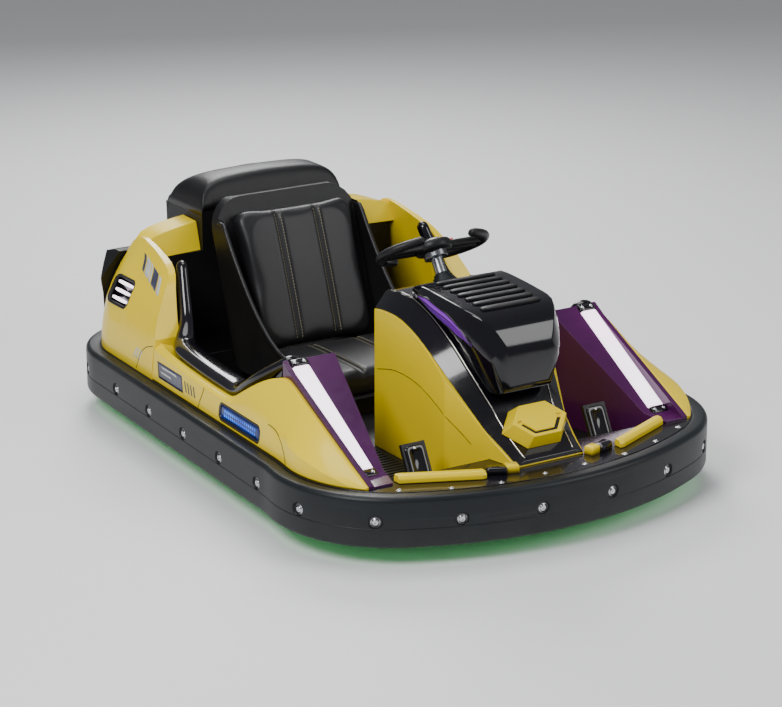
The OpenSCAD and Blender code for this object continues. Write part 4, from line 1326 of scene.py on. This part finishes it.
@dataclass
class CockpitSides:
    """Rolled rims, light channels, light bars and the lips at their feet."""

    bar_top: Pair = (275, 390)
    bar_foot: Pair = (608, 190)
    bar_y: float = 441
    bar_w: float = 50
    clips: tuple[tuple[str, float, float, float], ...] = (("top", 4, 22, 15), ("foot", 376, 24, 388))
    rim: tuple[Layer, ...] = (
        (-420, 388, 452, 16), (-385, 401, 388, 17), (-345, 417, 322, 19), (-300, 446, 284, 28),
        (-250, 466, 276, 34), (-120, 474, 268, 36), (0, 478, 263, 36), (82, 480, 264, 36),
        (140, 481, 298, 36), (190, 478, 330, 36), (232, 459, 359, 34), (262, 447, 379, 30))
    rim_up: float = 18
    rim_gap: float = 0.3
    nose: tuple[tuple[str, tuple[Layer, ...], Point, float, str], ...] = (
        ("nose_strap", ((52, 30, 6, 0.3), (52, 30, 6, 14), (46, 24, 5, 18)), (744, 160, 180), -63,
         "Gloss black plastic"),
        ("nose_block", ((34, 28, 4, 0.3), (34, 28, 4, 16), (28, 22, 3, 20)), (752, 121, 180), -72,
         "Yellow body plastic"))

    def build(self, shop: Workshop) -> None:
        """Dress both sides.

        Args:
            shop: The workshop.
        """
        for side in Side:
            shop.dressed(f"cockpit_trim_{side.word}", "Gloss black plastic", width=0, smooth=50,
                         shape=self._slim(side))
            self._roll(shop, side)
            # The channel's finish carries a faint painted glow that stands in for light falling on it.
            shop.dressed(f"light_channel_{side.word}", "Purple channel", width=3)
            shop.dressed(f"light_bar_{side.word}", "White light cover", width=3)
            shop.dressed(f"front_lip_{side.word}", "Yellow body plastic", width=2.5)
            self._bar_clips(shop, side)
            for name, layers, (x, y, z), angle, finish in self.nose:
                spot = shift(x, side.value * y, z) @ turn(angle * side.value, "Z")
                shop.piece(f"{name}_{side.word}", plate(layers), finish, spot)

    def _slim(self, side: Side) -> Callable[[Vector], Vector]:
        """Pulls the CAD roll in under the finer one.

        Args:
            side: The side of the car.

        Returns:
            The function.
        """
        line = [Vector((x, side.value * y, z)) for x, y, z, _w in smooth_line(self.rim, 4)]

        def pull(corner: Vector) -> Vector:
            """Move a corner of the roll towards its middle line.

            Args:
                corner: The corner in millimetres.

            Returns:
                Its new place.
            """
            near = min(line, key=lambda p: (p - corner).length)
            away = corner - near
            return near + away * 0.90 if away.length < 40 and corner.z > near.z - 19 else corner
        return pull

    def _roll(self, shop: Workshop, side: Side) -> None:
        """Finely sampled roll of the cockpit's rim.

        Args:
            shop: The workshop.
            side: The side of the car.
        """
        rows = smooth_line(self.rim, 5)
        path = [Vector((x, side.value * y, z)) * MM for x, y, z, _w in rows]
        last = len(path) - 1
        ways = [path[min(i + 1, last)] - path[max(i - 1, 0)] for i in range(len(path))]
        up = [Vector((-way.z, 0, way.x)).normalized() for way in ways]
        sizes = [(w + self.rim_gap, self.rim_up + self.rim_gap) for _x, _y, _z, w in rows]
        shop.piece(f"rim_roll_{side.word}", oval_sweep(path, up, sizes, 28), "Gloss black plastic")

    def _bar_clips(self, shop: Workshop, side: Side) -> None:
        """Dark end pieces with screws, above and below the light bar.

        Args:
            shop: The workshop.
            side: The side of the car.
        """
        (top_x, top_z), (foot_x, foot_z) = self.bar_top, self.bar_foot
        slope = Matrix.Rotation(math.atan2(top_z - foot_z, foot_x - top_x), 4, "Y")
        spot = side.mirror @ shift(top_x, self.bar_y, top_z) @ slope
        wide = self.bar_w
        for word, start, length, _screw in self.clips:
            layers = [(length, wide, 5, -2), (length, wide, 5, 5), (length - 4, wide - 4, 4, 8)]
            shop.piece(f"bar_clip_{word}_{side.word}", plate(layers), "Gloss black plastic",
                       spot @ shift(start + length / 2, 0, 0))
        for word, _start, _length, x in self.clips:
            shop.row(f"bar_screws_{word}_{side.word}", spot, [(x, -14, 7.6), (x, 14, 7.6)], (dome_bolt,), 27,
                     (10, 10, 7))


@dataclass
class Console:
    """Centre console with its band, the housing and the nose cap."""

    silver: tuple[Pair, ...] = (
        (205, 125), (320, 123), (400, 121), (480, 117), (545, 107), (615, 89), (640, 85), (690, 79),
        (738, 72))
    waist: tuple[Pair, ...] = ((312, 522), (340, 530), (420, 520), (500, 504), (560, 480), (600, 450))
    flank: tuple[Pair, ...] = ((214, 300), (300, 318), (400, 312), (500, 276), (560, 238), (600, 206))
    louvre_x: tuple[float, ...] = (368, 420, 470, 520, 566)
    field_x: Pair = (350, 236)
    rims: tuple[Pair, ...] = ((0.0, 2.2), (0.36, 1.3), (0.68, 1.3), (1.0, 2.2))
    cover: tuple[Layer, ...] = (
        (190, 236, 22, -1), (190, 236, 22, 1.6), (184, 230, 20, 2.8), (164, 210, 16, 2.8),
        (160, 206, 15, 1.4))
    cover_spot: Point = (200, 0, 322)
    screws: tuple[Point, ...] = ((-84, -107, 2.4), (84, -107, 2.4), (84, 107, 2.4), (-84, 107, 2.4))
    slot: tuple[Layer, ...] = ((64, 16, 7.9, 1.0), (64, 16, 7.9, 2.0))
    cap_spot: Point = (674, 0, 247.46)
    cap_lean: float = 39.2
    cap_long: float = 0.66
    groove_r: Pair = (54.6, 65.4)
    groove_z: Pair = (32.4, 33.6)

    def build(self, shop: Workshop) -> None:
        """Dress the console and add its lines, louvres and lights.

        Args:
            shop: The workshop.
        """
        shell = shop.dressed("console_shell", "Yellow body plastic", width=2.5)
        band = shop.dressed("console_band", "Gloss black plastic", width=3)
        housing = shop.dressed("front_housing", "Gloss black plastic", width=4, angle=26, smooth=40)
        shop.dressed("nose_cap", "Yellow body plastic", width=2)
        for side in Side:
            rays = [self._down(x, side.value * y) for x, y in smooth_line(self.silver, 5)]
            shop.line(f"band_line_{side.word}", band, rays, 1.9, "Silver line", 8, lift=0.6)
        path, out = shop.traced(housing, [self._down(x, 0) for x in self.louvre_x], lift=-2.0)
        shop.along("housing_louvres", path, out, (soft_bar, 0.28), 33, (17, 176, 8), "Grained black plastic")
        for side in Side:
            self._side_light(shop, housing, side)
        for side in Side:
            rays = [side.ray(x, z) for x, z in smooth_line(self.flank, 5)]
            shop.line(f"console_gap_{side.word}", shell, rays, 1.0)
        self._nose_groove(shop)
        self._rear_panel(shop)

    @staticmethod
    def _down(x: float, y: float) -> Ray:
        """Ray from above."""
        return (x, y, OUTSIDE), (0, 0, -1)

    def _rear_panel(self, shop: Workshop) -> None:
        """Dark service cover with its screws and slots on the face towards the seat.

        Args:
            shop: The workshop.
        """
        spot = shift(*self.cover_spot) @ turn(-90, "Y")
        shop.piece("console_cover", plate(self.cover), "Grained black plastic", spot)
        shop.row("console_cover_screws", spot, self.screws, (dome_bolt,), 0, (11, 11, 6))
        for i, y in enumerate((-40, 40)):
            shop.piece(f"console_cover_slot_{i}", plate(self.slot), "Panel gap", spot @ shift(-20, y, 0))

    def _side_light(self, shop: Workshop, housing: Object, side: Side) -> None:
        """Violet light field on the housing's side, with black lines over it.

        Args:
            shop: The workshop.
            housing: The dressed housing.
            side: The side of the car.
        """
        start, length = self.field_x

        def field_ray(u: float, v: float) -> Ray:
            """Ray onto the housing's side, in a field that follows its waist.

            Args:
                u: Place along the field, from 0 to 1.
                v: Place across the field, from 0 to 1.

            Returns:
                The ray.
            """
            x = start + length * u
            middle = float(np.interp(x, *zip(*self.waist)))
            thin = min(1.0, 0.25 + 3.0 * u, 0.25 + 3.0 * (1 - u))
            return side.ray(x, middle - 4 + (v * 40 - 24) * thin)
        shop.patch(f"housing_light_{side.word}", housing, field_ray, "Violet side light", (24, 6), lift=1.2)
        for k, (edge, radius) in enumerate(self.rims):
            rays = [field_ray(i / 20, edge) for i in range(21)]
            shop.line(f"housing_light_rim_{k}_{side.word}", housing, rays, radius, "Gloss black plastic", 8,
                      lift=0.8)

    def _nose_groove(self, shop: Workshop) -> None:
        """Black inlay in the nose cap's groove, the front half of a flat hexagon.

        Args:
            shop: The workshop.
        """
        squeeze = Matrix.Diagonal((self.cap_long, 1.0, 1.0, 1.0))
        spot = shift(*self.cap_spot) @ turn(self.cap_lean, "Y") @ squeeze
        lines = []
        for radius in self.groove_r:
            end = radius - 8 / math.tan(math.radians(60))
            cos, sin = radius * math.cos(math.radians(30)), radius * math.sin(math.radians(30))
            lines.append([(8, -end), (cos, -sin), (cos, 0), (cos, sin), (8, end)])
        low, high = self.groove_z
        rings = [[(a * MM, b * MM, low * MM), (c * MM, d * MM, low * MM), (c * MM, d * MM, high * MM),
                  (a * MM, b * MM, high * MM)] for (a, b), (c, d) in zip(*lines)]
        shop.piece("nose_groove", mesh_of(lambda bm: skin(bm, rings), smooth=False), "Panel gap", spot)


@dataclass
class Steering:
    """Column, yoke and pedals."""

    yoke: Point = (220, 0, 598)
    lean: float = 34
    half: float = 13
    grip_r: float = 148
    grip_w: float = 16
    grip_reach: float = 58
    hub: tuple[Layer, ...] = (
        (92, 92, 45.9, -12), (98, 98, 48.9, -8), (98, 98, 48.9, 8), (90, 90, 44.9, 12.4))
    boot: tuple[Pair, ...] = (
        (41, -138), (41, -106), (38, -103),
        *(row for k in range(4) for row in ((34 - 4.6 * k, -101 + 7.5 * k), (36 - 4.6 * k, -97.5 + 7.5 * k))),
        (18, -72), (16.6, -70.5), (15.2, -70.5))
    cap: tuple[Pair, ...] = ((32, -0.5), (32, 3), (30, 5), (22, 6.5), (0, 7))
    cap_ring: tuple[Pair, ...] = ((38.5, -0.3), (38.5, 1.6), (36.5, 2.2), (34.5, 1.6), (34.5, -0.3))
    button: tuple[Pair, ...] = ((9, -0.5), (9, 2), (7.5, 3.2), (0, 3.4))
    button_y: float = 56
    pedal: Point = (594, 275, 128.3)
    pedal_back: tuple[Layer, ...] = ((90, 54, 11, -1), (90, 54, 11, 2), (84, 48, 9, 3.4), (64, 30, 6, 3.4),
                                     (60, 26, 5, 1.2))

    def build(self, shop: Workshop) -> None:
        """Dress the controls.

        Args:
            shop: The workshop.
        """
        spot = shift(*self.yoke) @ turn(-self.lean, "Y")
        shop.dressed("column_tube", "Black frame paint", width=2)
        shop.dressed("steering_column", "Plain steel", width=1.5)
        self._grips(shop, spot)
        shop.piece("column_boot", lathed(self.boot, 32), "Bumper rubber", spot)
        shop.dressed("pedal_accelerator", "Grained black plastic", width=2)
        shop.dressed("pedal_brake", "Grained black plastic", width=2)
        for side in Side:
            self._pedal_back(shop, side)
        top = spot @ shift(0, 0, self.half)
        shop.piece("yoke_cap", lathed(self.cap, 36), "Gloss black plastic", top, "steering")
        shop.piece("yoke_ring", lathed(self.cap_ring, 36), "Silver line", top, "steering")
        for side in Side:
            place = top @ shift(0, side.value * self.button_y, 0)
            shop.piece(f"yoke_button_{side.word}", lathed(self.button, 20), "Red light cover", place,
                       "steering")

    def _grips(self, shop: Workshop, spot: Matrix) -> None:
        """Moulded yoke: two curved grips, spokes and a hub.

        Args:
            shop: The workshop.
            spot: The yoke's frame.
        """
        up = spot.to_3x3() @ Vector((0, 0, 1))
        parts = []
        for side in Side:
            rows = [math.radians(2 * self.grip_reach * k / 22 - self.grip_reach) for k in range(23)]
            r = self.grip_r
            arc = [(0.62 * r * math.sin(a), side.value * r * math.cos(a), 0) for a in rows]
            swells = [1.0 - 0.16 * abs(a) for a in rows]
            sizes = [(self.grip_w * swell, self.half * swell) for swell in swells]
            bars = [(arc, sizes, 24)]
            for x in (-16, 16):
                steps = [k / 8 for k in range(9)]
                spoke = [(x * (1 - 0.15 * t), side.value * (34 + 104 * t), -1) for t in steps]
                bars.append((spoke, [(8.5, self.half - 3)] * 9, 16))
            for points, widths, sides in bars:
                path = [spot @ (Vector(point) * MM) for point in points]
                parts.append(oval_sweep(path, [up] * len(path), widths, sides))
        parts.append(placed(plate(self.hub, steps=9), spot))

        def build(bm: BMesh) -> None:
            """Join the parts."""
            for part in parts:
                bm.from_mesh(part)
        piece = shop.piece("yoke_moulding", mesh_of(build), "Grained black plastic", body="steering")
        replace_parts(piece, "steering_yoke")

    def _pedal_back(self, shop: Workshop, side: Side) -> None:
        """Stamped back with two screws on a pedal's front face.

        Args:
            shop: The workshop.
            side: The side of the car.
        """
        x, y, z = self.pedal
        spot = shift(x, side.value * y, z) @ turn(-28, "Y") @ shift(5, 0, 52) @ turn(90, "Y")
        shop.piece(f"pedal_back_{side.word}", plate(self.pedal_back), "Gloss black plastic", spot)
        shop.row(f"pedal_screws_{side.word}", spot, [(-37, 0, 3.2), (37, 0, 3.2)], (dome_bolt,), 0, (9, 9, 6))


CLOTH = {"quality": 5, "use_pressure": True, "uniform_pressure_force": 3.0, "tension_stiffness": 12.0,
         "compression_stiffness": 12.0, "bending_stiffness": 2.0}


@dataclass
class Cushion:
    """One stuffed cushion: its box in its own frame, and how it is sewn."""

    name: str
    node: str
    size: Point
    spot: Matrix
    seam: float
    cap: float = 12.0
    voxel: float = 6.0
    evening: int = 40
    frames: int = 20
    channel: float = 9.0
    crown: float = 4.0
    stitch_gap: float = 8.5
    stitch_size: Point = (6, 6, 4)

    def build(self, shop: Workshop) -> None:
        """Make the cushion, its channels and its stitches.

        Args:
            shop: The workshop.
        """
        w, d, t = self.size
        layers = [(w - 26, d - 26, 30, 3), (w - 10, d - 10, 34, 12), (w - 6, d - 6, 36, t * 0.5),
                  (w - 12, d - 12, 34, t - 12), (w - 34, d - 34, 26, t - 5)]
        mesh = finished(plate(layers, steps=8), ("REMESH", {"mode": "VOXEL", "voxel_size": self.voxel * MM}))
        mesh = self._stuffed(mesh)
        self._sew(mesh)
        mesh = finished(mesh, ("SUBSURF", {"levels": 1, "render_levels": 1}))
        mesh.shade_smooth()
        piece = shop.piece(self.name, mesh, "Seat vinyl", self.spot)
        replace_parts(piece, self.node)
        self._stitches(shop, piece)

    def _stuffed(self, mesh: Mesh) -> Mesh:
        """Blow the cushion up with a short cloth simulation, no point moving further than the cap.

        Args:
            mesh: The slack cushion.

        Returns:
            The stuffed one.
        """
        start = [v.co.copy() for v in mesh.vertices]
        thing = linked(self.name + "_cloth", mesh)
        cloth = thing.modifiers.new("Stuffing", "CLOTH")
        for key, value in CLOTH.items():
            setattr(cloth.settings, key, value)
        cloth.settings.effector_weights.gravity = 0.0
        cloth.point_cache.frame_start = 1
        cloth.point_cache.frame_end = self.frames
        scene = bpy.context.scene
        for frame in range(1, self.frames + 1):
            scene.frame_set(frame)
        final = baked(thing)
        scene.frame_set(1)
        w, d, t = self.size
        moves = self._evened(final, [v.co - old for v, old in zip(final.vertices, start)])
        for vertex, old, move in zip(final.vertices, start, moves):
            if move.length > self.cap * MM:
                move = move.normalized() * self.cap * MM
            new = old + move
            new.x = min(max(new.x, -w / 2 * MM), w / 2 * MM)
            new.y = min(max(new.y, -d / 2 * MM), d / 2 * MM)
            new.z = min(max(new.z, 0.0), (t + 8) * MM)
            vertex.co = new
        return final

    def _evened(self, mesh: Mesh, moves: list[Vector]) -> list[Vector]:
        """Spread the cloth's movement over its neighbours, so that the vinyl lies without creases.

        Args:
            mesh: The cushion.
            moves: How far each point has moved.

        Returns:
            The evened movements.
        """
        ends = np.array([tuple(edge.vertices) for edge in mesh.edges])
        shifts = np.array([tuple(move) for move in moves])
        count = np.bincount(ends.ravel(), minlength=len(shifts))[:, None]
        for _turn in range(self.evening):
            total = np.zeros_like(shifts)
            np.add.at(total, ends[:, 0], shifts[ends[:, 1]])
            np.add.at(total, ends[:, 1], shifts[ends[:, 0]])
            shifts = 0.3 * shifts + 0.7 * total / count
        return [Vector(row) for row in shifts]

    def _sew(self, mesh: Mesh) -> None:
        """Crown the upper side and press the two sewn channels into it.

        Args:
            mesh: The mesh.
        """
        w, d, t = self.size
        for vertex in mesh.vertices:
            x, y, z = vertex.co / MM
            if z < t * 0.45:
                continue
            depth = sum(self.channel * math.exp(-((y - s) / 7.5) ** 2) for s in (-self.seam, self.seam))
            edge = min(1.0, max(0.0, (w / 2 - abs(x)) / 30))
            crown = self.crown * math.cos(math.pi * y / d) * math.cos(math.pi * x / w)
            vertex.co.z += (crown - depth * edge) * MM

    def _stitches(self, shop: Workshop, piece: Object) -> None:
        """Rows of stitches beside each channel.

        Args:
            shop: The workshop.
            piece: The cushion's piece.
        """
        w, _d, t = self.size
        down = tuple(self.spot.to_3x3() @ Vector((0, 0, -1)))
        for i, seam in enumerate((-self.seam, self.seam)):
            for j, beside in enumerate((-9.0, 9.0)):
                starts = [Vector(((-w / 2 + 34) + (w - 68) * k / 24, seam + beside, t + 60))
                          for k in range(25)]
                rays = [(tuple((self.spot @ (start * MM)) / MM), down) for start in starts]
                path, out = shop.traced(piece, rays, lift=-0.2)
                shop.along(f"{self.name}_stitches_{i}_{j}", path, out, (stitch,), self.stitch_gap,
                           self.stitch_size, "Seat stitch")


@dataclass
class Seat:
    """Bucket seat with two sewn cushions."""

    rear_x: float = -385
    front_x: float = 10
    seat_z: float = 150
    lean: float = 20
    back_foot: float = 20
    back_top: float = 430
    half_w: float = 215
    thick: float = 70
    roll_r: float = 6.5

    def build(self, shop: Workshop) -> None:
        """Dress the shell and stuff the cushions.

        Args:
            shop: The workshop.
        """
        shell = shop.dressed("seat_shell", "Grained black plastic", width=5, angle=35, segments=4)
        x0, x1 = self.rear_x + self.thick + 6, self.front_x + 4
        Cushion("seat_cushion_pad", "seat_cushion", (x1 - x0, 2 * self.half_w - 8, self.thick - 8),
                shift((x0 + x1) / 2, 0, self.seat_z + 0.3), 70.0).build(shop)
        back = shift(self.rear_x, 0, self.seat_z) @ turn(-self.lean, "Y")
        upright = shift(0.3, 0, (self.back_foot + self.back_top) / 2) @ turn(90, "Y")
        Cushion("back_cushion_pad", "back_cushion",
                (self.back_top - self.back_foot, 2 * self.half_w - 48, self.thick - 18), back @ upright,
                62.0).build(shop)
        for side in Side:
            y = side.value * (self.half_w + 5)
            rays = [((x, y, OUTSIDE), (0, 0, -1)) for x in range(-520, 12, 14)]
            shop.line(f"seat_edge_roll_{side.word}", shell, rays, self.roll_r, "Seat vinyl", 10, lift=-1.0)


@dataclass
class RearBody:
    """Fenders with their vents, the rear cowl, its panel and the tail lamps."""

    vent: Point = (-612, 477.5, 352)
    vent_tilt: float = 28
    vent_frame: tuple[Layer, ...] = ((120, 84, 21, -11.8), (120, 84, 21, -1), (116, 80, 19, 0.6),
                                     (106, 70, 14, -1), (104, 68, 13, -6), (104, 68, 13, -11.8))
    vent_floor: tuple[Layer, ...] = ((105, 69, 13, -11.9), (105, 69, 13, -9))
    bars: tuple[Point, ...] = ((0, -23, -9.2), (0, 23, -9.2))
    bar_gap: float = 22.5
    bar_size: Point = (9, 80, 7)
    marks: tuple[Mark, ...] = (
        *(Mark(f"fender_stripe_{i}", -430 - 16 * i, 7, 16, 212, 30, "Pale decal") for i in range(3)),
        *(Mark(f"fender_block_{i}", x, -wide, -24, 280.5, 34, finish, (6, 6), slope=-0.25)
          for i, (x, wide, finish) in enumerate((
              (-412, 20, "Pale decal"), (-438, 42, "Smoked decal"), (-486, 14, "Pale decal"),
              (-506, 30, "Pale decal"), (-542, 16, "Smoked decal")))))
    gap: tuple[Pair, ...] = ((-352, 268), (-385, 258), (-410, 240), (-428, 212), (-440, 186))
    back_low: Pair = (-794, 180.3)
    back_high: Pair = (-811, 528)
    screws: tuple[tuple[str, float], ...] = (("low", 52), ("high", 318))
    screw_y: float = 140
    screw_level: float = 12.2
    screw_size: Point = (12, 12, 8)
    hood_x: tuple[Pair, ...] = ((-602, 560), (-628, 622), (-664, 640), (-714, 634), (-766, 594), (-811, 528))
    hood_y: tuple[Pair, ...] = ((-226, 548), (-214, 590), (-180, 618), (-112, 634), (0, 641))
    hood_side: float = 226.5
    hood_blend: float = 26.0
    hood_skirt: float = 0.016
    hood_wall: float = 0.004
    arch: Point = (-900, 158, 96)
    arch_z: float = 520

    def build(self, shop: Workshop) -> None:
        """Dress the rear.

        Args:
            shop: The workshop.
        """
        cowl = shop.dressed("rear_cowl", "Grained black plastic", width=4, shape=self._lowered)
        hood = self._hood(shop)
        shop.dressed("rear_panel", "Yellow body plastic", width=2)
        shop.paint("battery_block", "Battery case")
        for side in Side:
            fender = shop.dressed(f"rear_fender_{side.word}", "Yellow body plastic", width=4, angle=34,
                                  smooth=28)
            shop.dressed(f"tail_lamp_{side.word}", "Red light cover", width=2)
            self._vent(shop, side)
            for mark in self.marks:
                mark.lay(shop, side, fender)
            rays = [side.ray(x, z) for x, z in smooth_line(self.gap, 4)]
            shop.line(f"fender_gap_{side.word}", fender, rays, 1.1)
        self._hood_arch(shop, hood, cowl)
        self._panel_screws(shop)

    @staticmethod
    def _lowered(corner: Vector) -> Vector:
        """Sink the top of the CAD hood under the smooth one.

        Args:
            corner: The corner in millimetres.

        Returns:
            Its new place.
        """
        if corner.z > 549 or (corner.z > 520 and abs(corner.y) < 160 and corner.x < -800):
            return corner + Vector((0, 0, -9))
        return corner

    def _hood(self, shop: Workshop) -> Object:
        """Smooth shell over the hood, with a short skirt.

        Args:
            shop: The workshop.

        Returns:
            The shell's piece.
        """
        lengthwise = smooth_line(self.hood_x, 8)
        over = smooth_line(self.hood_y, 6)
        over = over + [(-y, z) for y, z in reversed(over[:-1])]
        blend = self.hood_blend

        def height(first: float, second: float) -> float:
            """Lower of two heights, blended."""
            near = max(blend - abs(first - second), 0.0) / blend
            return min(first, second) - near * near * blend / 4

        def skirt(edge: list[Point], x: float) -> list[Point]:
            """Lower edge of the shell, below one of its ends.

            Args:
                edge: Points of the end.
                x: Where the skirt goes, in millimetres.

            Returns:
                The points.
            """
            last = len(edge) - 1
            return [(x * MM, y, z - (self.hood_skirt if 0 < k < last else 0.0))
                    for k, (_x, y, z) in enumerate(edge)]

        rows = []
        for x, zx in lengthwise:
            foot = (min(zx, self.hood_y[0][1]) - 18) * MM
            middle = [(x * MM, y * MM, height(zx, zy) * MM) for y, zy in over]
            rows.append([(x * MM, -self.hood_side * MM, foot), *middle, (x * MM, self.hood_side * MM, foot)])
        rows = [skirt(rows[0], self.hood_x[0][0] + 0.5), *rows, skirt(rows[-1], self.hood_x[-1][0] - 0.5)]
        mesh = mesh_of(lambda bm: skin(bm, rows, foot=False, tip=False, closed=False))
        final = finished(mesh, ("SOLIDIFY", {"thickness": self.hood_wall, "offset": -1.0}))
        return shop.piece("hood_shell", final, "Grained black plastic")

    def _vent(self, shop: Workshop, side: Side) -> None:
        """Dark vent in its pocket with three lit bars.

        Args:
            shop: The workshop.
            side: The side of the car.
        """
        spot = side.mirror @ shift(*self.vent) @ turn(self.vent_tilt - 90, "X")
        shop.piece(f"vent_frame_{side.word}", plate(self.vent_frame, hole=True), "Grained black plastic",
                   spot)
        shop.piece(f"vent_floor_{side.word}", plate(self.vent_floor), "Gloss black plastic", spot)
        shop.row(f"vent_bars_{side.word}", spot, self.bars, (soft_bar, 0.3), self.bar_gap, self.bar_size,
                 "White light cover")

    def _hood_arch(self, shop: Workshop, hood: Object, cowl: Object) -> None:
        """Rolled arch on the hood over the painted panel.

        Args:
            shop: The workshop.
            hood: The hood's piece.
            cowl: The cowl's piece.
        """
        x, wide, tall = self.arch
        path = []
        for a in (math.radians(180 * k / 28) for k in range(29)):
            start = (x, wide * math.cos(a), self.arch_z + tall * math.sin(a))
            hits = [shop.hit(thing, start, (1, 0, 0)) for thing in (hood, cowl)]
            places = [found[0] for found in hits if found is not None]
            if places:
                path.append(min(places, key=lambda p: p.x))
        shop.piece("hood_arch", tube(path, 7, 10), "Gloss black plastic")

    def _panel_screws(self, shop: Workshop) -> None:
        """Screws in the corners of the painted panel.

        Args:
            shop: The workshop.
        """
        (low_x, low_z), (high_x, high_z) = self.back_low, self.back_high
        lean = Matrix.Rotation(-math.atan2(low_x - high_x, high_z - low_z), 4, "Y")
        spot = shift(low_x, 0, low_z) @ lean @ turn(-90, "Y")
        for word, z in self.screws:
            ends = [(z, y, self.screw_level) for y in (-self.screw_y, self.screw_y)]
            shop.row(f"panel_screws_{word}", spot, ends, (dome_bolt,), 2 * self.screw_y - 1, self.screw_size)


@dataclass
class RunningGear:
    """Drive wheel, casters and what holds them."""

    axle: Pair = (430, 125)
    tread_r: float = 124.2
    tread_y: float = 20
    treads: int = 60
    tread_gap: float = 16
    tread_size: Point = (10, 22, 0.7)
    bolt_r: float = 52
    bolt_y: float = 42
    bolts: int = 6
    bolt_size: Point = (12, 12, 9)

    def build(self, shop: Workshop) -> None:
        """Dress the wheels and add the treads and the hub's bolts.

        Args:
            shop: The workshop.
        """
        shop.dressed("drive_fork", "Zinc plated steel", width=1.5)
        shop.dressed("drive_hub", "Cast aluminium", width=2)
        shop.dressed("drive_tyre", "Tyre rubber", width=0, smooth=40)
        for side in Side:
            path, out = self._circle(self.tread_r, side.value * self.tread_y, self.treads)
            shop.along(f"drive_tread_{side.word}", path, out, (soft_bar, 0.25), self.tread_gap,
                       self.tread_size, "Tyre rubber", "drive_wheel", closed=True)
        for side in Side:
            path, _out = self._circle(self.bolt_r, side.value * self.bolt_y, 4 * self.bolts)
            out = [Vector((0, side.value, 0))] * len(path)
            shop.along(f"hub_bolts_{side.word}", path, out, (hex_bolt,), math.tau * self.bolt_r / self.bolts,
                       self.bolt_size, body="drive_wheel", closed=True)
        for side in Side:
            shop.dressed(f"caster_fork_{side.word}", "Zinc plated steel", width=1)
            shop.dressed(f"caster_hub_{side.word}", "Cast aluminium", width=1.5)
            shop.dressed(f"caster_tyre_{side.word}", "Caster rubber", width=0, smooth=40)

    def _circle(self, radius: float, y: float, count: int) -> tuple[list[Vector], list[Vector]]:
        """Points round the drive axle, with the directions away from it."""
        out = [Vector((math.cos(a), 0, math.sin(a))) for a in round_about(count)]
        return [Vector((self.axle[0], y, self.axle[1])) * MM + way * radius * MM for way in out], out


# Studio


@dataclass(frozen=True)
class Studio:
    """Plain floor, soft light and the photograph's camera."""

    eye: Point = (5.494, -3.484, 2.338)
    aim: Point = (0.02, 0.0, 0.26)
    lens: float = 118.0
    floor_size: float = 30.0
    floor_color: Point = (0.82, 0.82, 0.83)
    sky_color: Point = (0.86, 0.88, 0.92)
    sky_power: float = 0.27
    lamps: tuple[tuple[str, Point, float, float], ...] = (
        ("key", (1.6, -3.2, 3.4), 2.0, 165.0), ("fill", (3.4, 2.6, 2.6), 2.4, 70.0),
        ("rear", (-3.4, 1.4, 3.0), 2.0, 130.0), ("top", (-0.4, 0.2, 4.2), 2.6, 80.0))

    def build(self) -> None:
        """Set up the floor, the lights, the sky and the camera."""
        self._floor()
        for name, place, size, power in self.lamps:
            data = bpy.data.lights.new("studio_" + name, "AREA")
            data.shape = "DISK"
            data.size = size
            data.energy = power
            self._aimed(linked("studio_" + name, data), place, (0, 0, 0.2))
        world = bpy.data.worlds.new("studio_sky")
        world.use_nodes = True
        sky = world.node_tree.nodes["Background"]
        sky.inputs["Color"].default_value = (*self.sky_color, 1.0)
        sky.inputs["Strength"].default_value = self.sky_power
        bpy.context.scene.world = world
        data = bpy.data.cameras.new("photo_camera")
        data.lens = self.lens
        data.sensor_width = 36.0
        camera = linked("photo_camera", data)
        self._aimed(camera, self.eye, self.aim)
        bpy.context.scene.camera = camera

    @staticmethod
    def _aimed(thing: Object, place: Point, aim: Point) -> None:
        """Put a lamp or a camera in its place and point it."""
        thing.location = place
        thing.rotation_euler = (Vector(aim) - Vector(place)).to_track_quat("-Z", "Y").to_euler()

    def _floor(self) -> None:
        """Pale plane, far wider than the picture."""
        size = self.floor_size
        mesh = mesh_of(lambda bm: bmesh.ops.create_grid(bm, x_segments=1, y_segments=1, size=size), False)
        floor = linked("studio_floor", mesh)
        material = bpy.data.materials.new("Studio floor")
        material.use_nodes = True
        shader = material.node_tree.nodes["Principled BSDF"]
        shader.inputs["Base Color"].default_value = (*self.floor_color, 1.0)
        shader.inputs["Roughness"].default_value = 0.6
        mesh.materials.append(material)
        floor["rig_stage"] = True


def corners() -> list[list[float]]:
    """The whole object's box as plain lists."""
    return [[float(c) for c in corner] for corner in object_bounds()]


def main() -> None:
    """Load the frame and build every sub-assembly."""
    logging.basicConfig(level=logging.INFO, format="%(message)s")
    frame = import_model()
    shop = Workshop(frame)
    for kind in (BumperBelt, DeckAndFloor, SidePods, CockpitSides, Console, Steering, Seat, RearBody,
                 RunningGear):
        LOG.info("%s", kind.__name__)
        kind().build(shop)
    shop.tidy_up()
    Studio().build()
    bpy.context.view_layer.update()


if __name__ == "__main__":
    main()
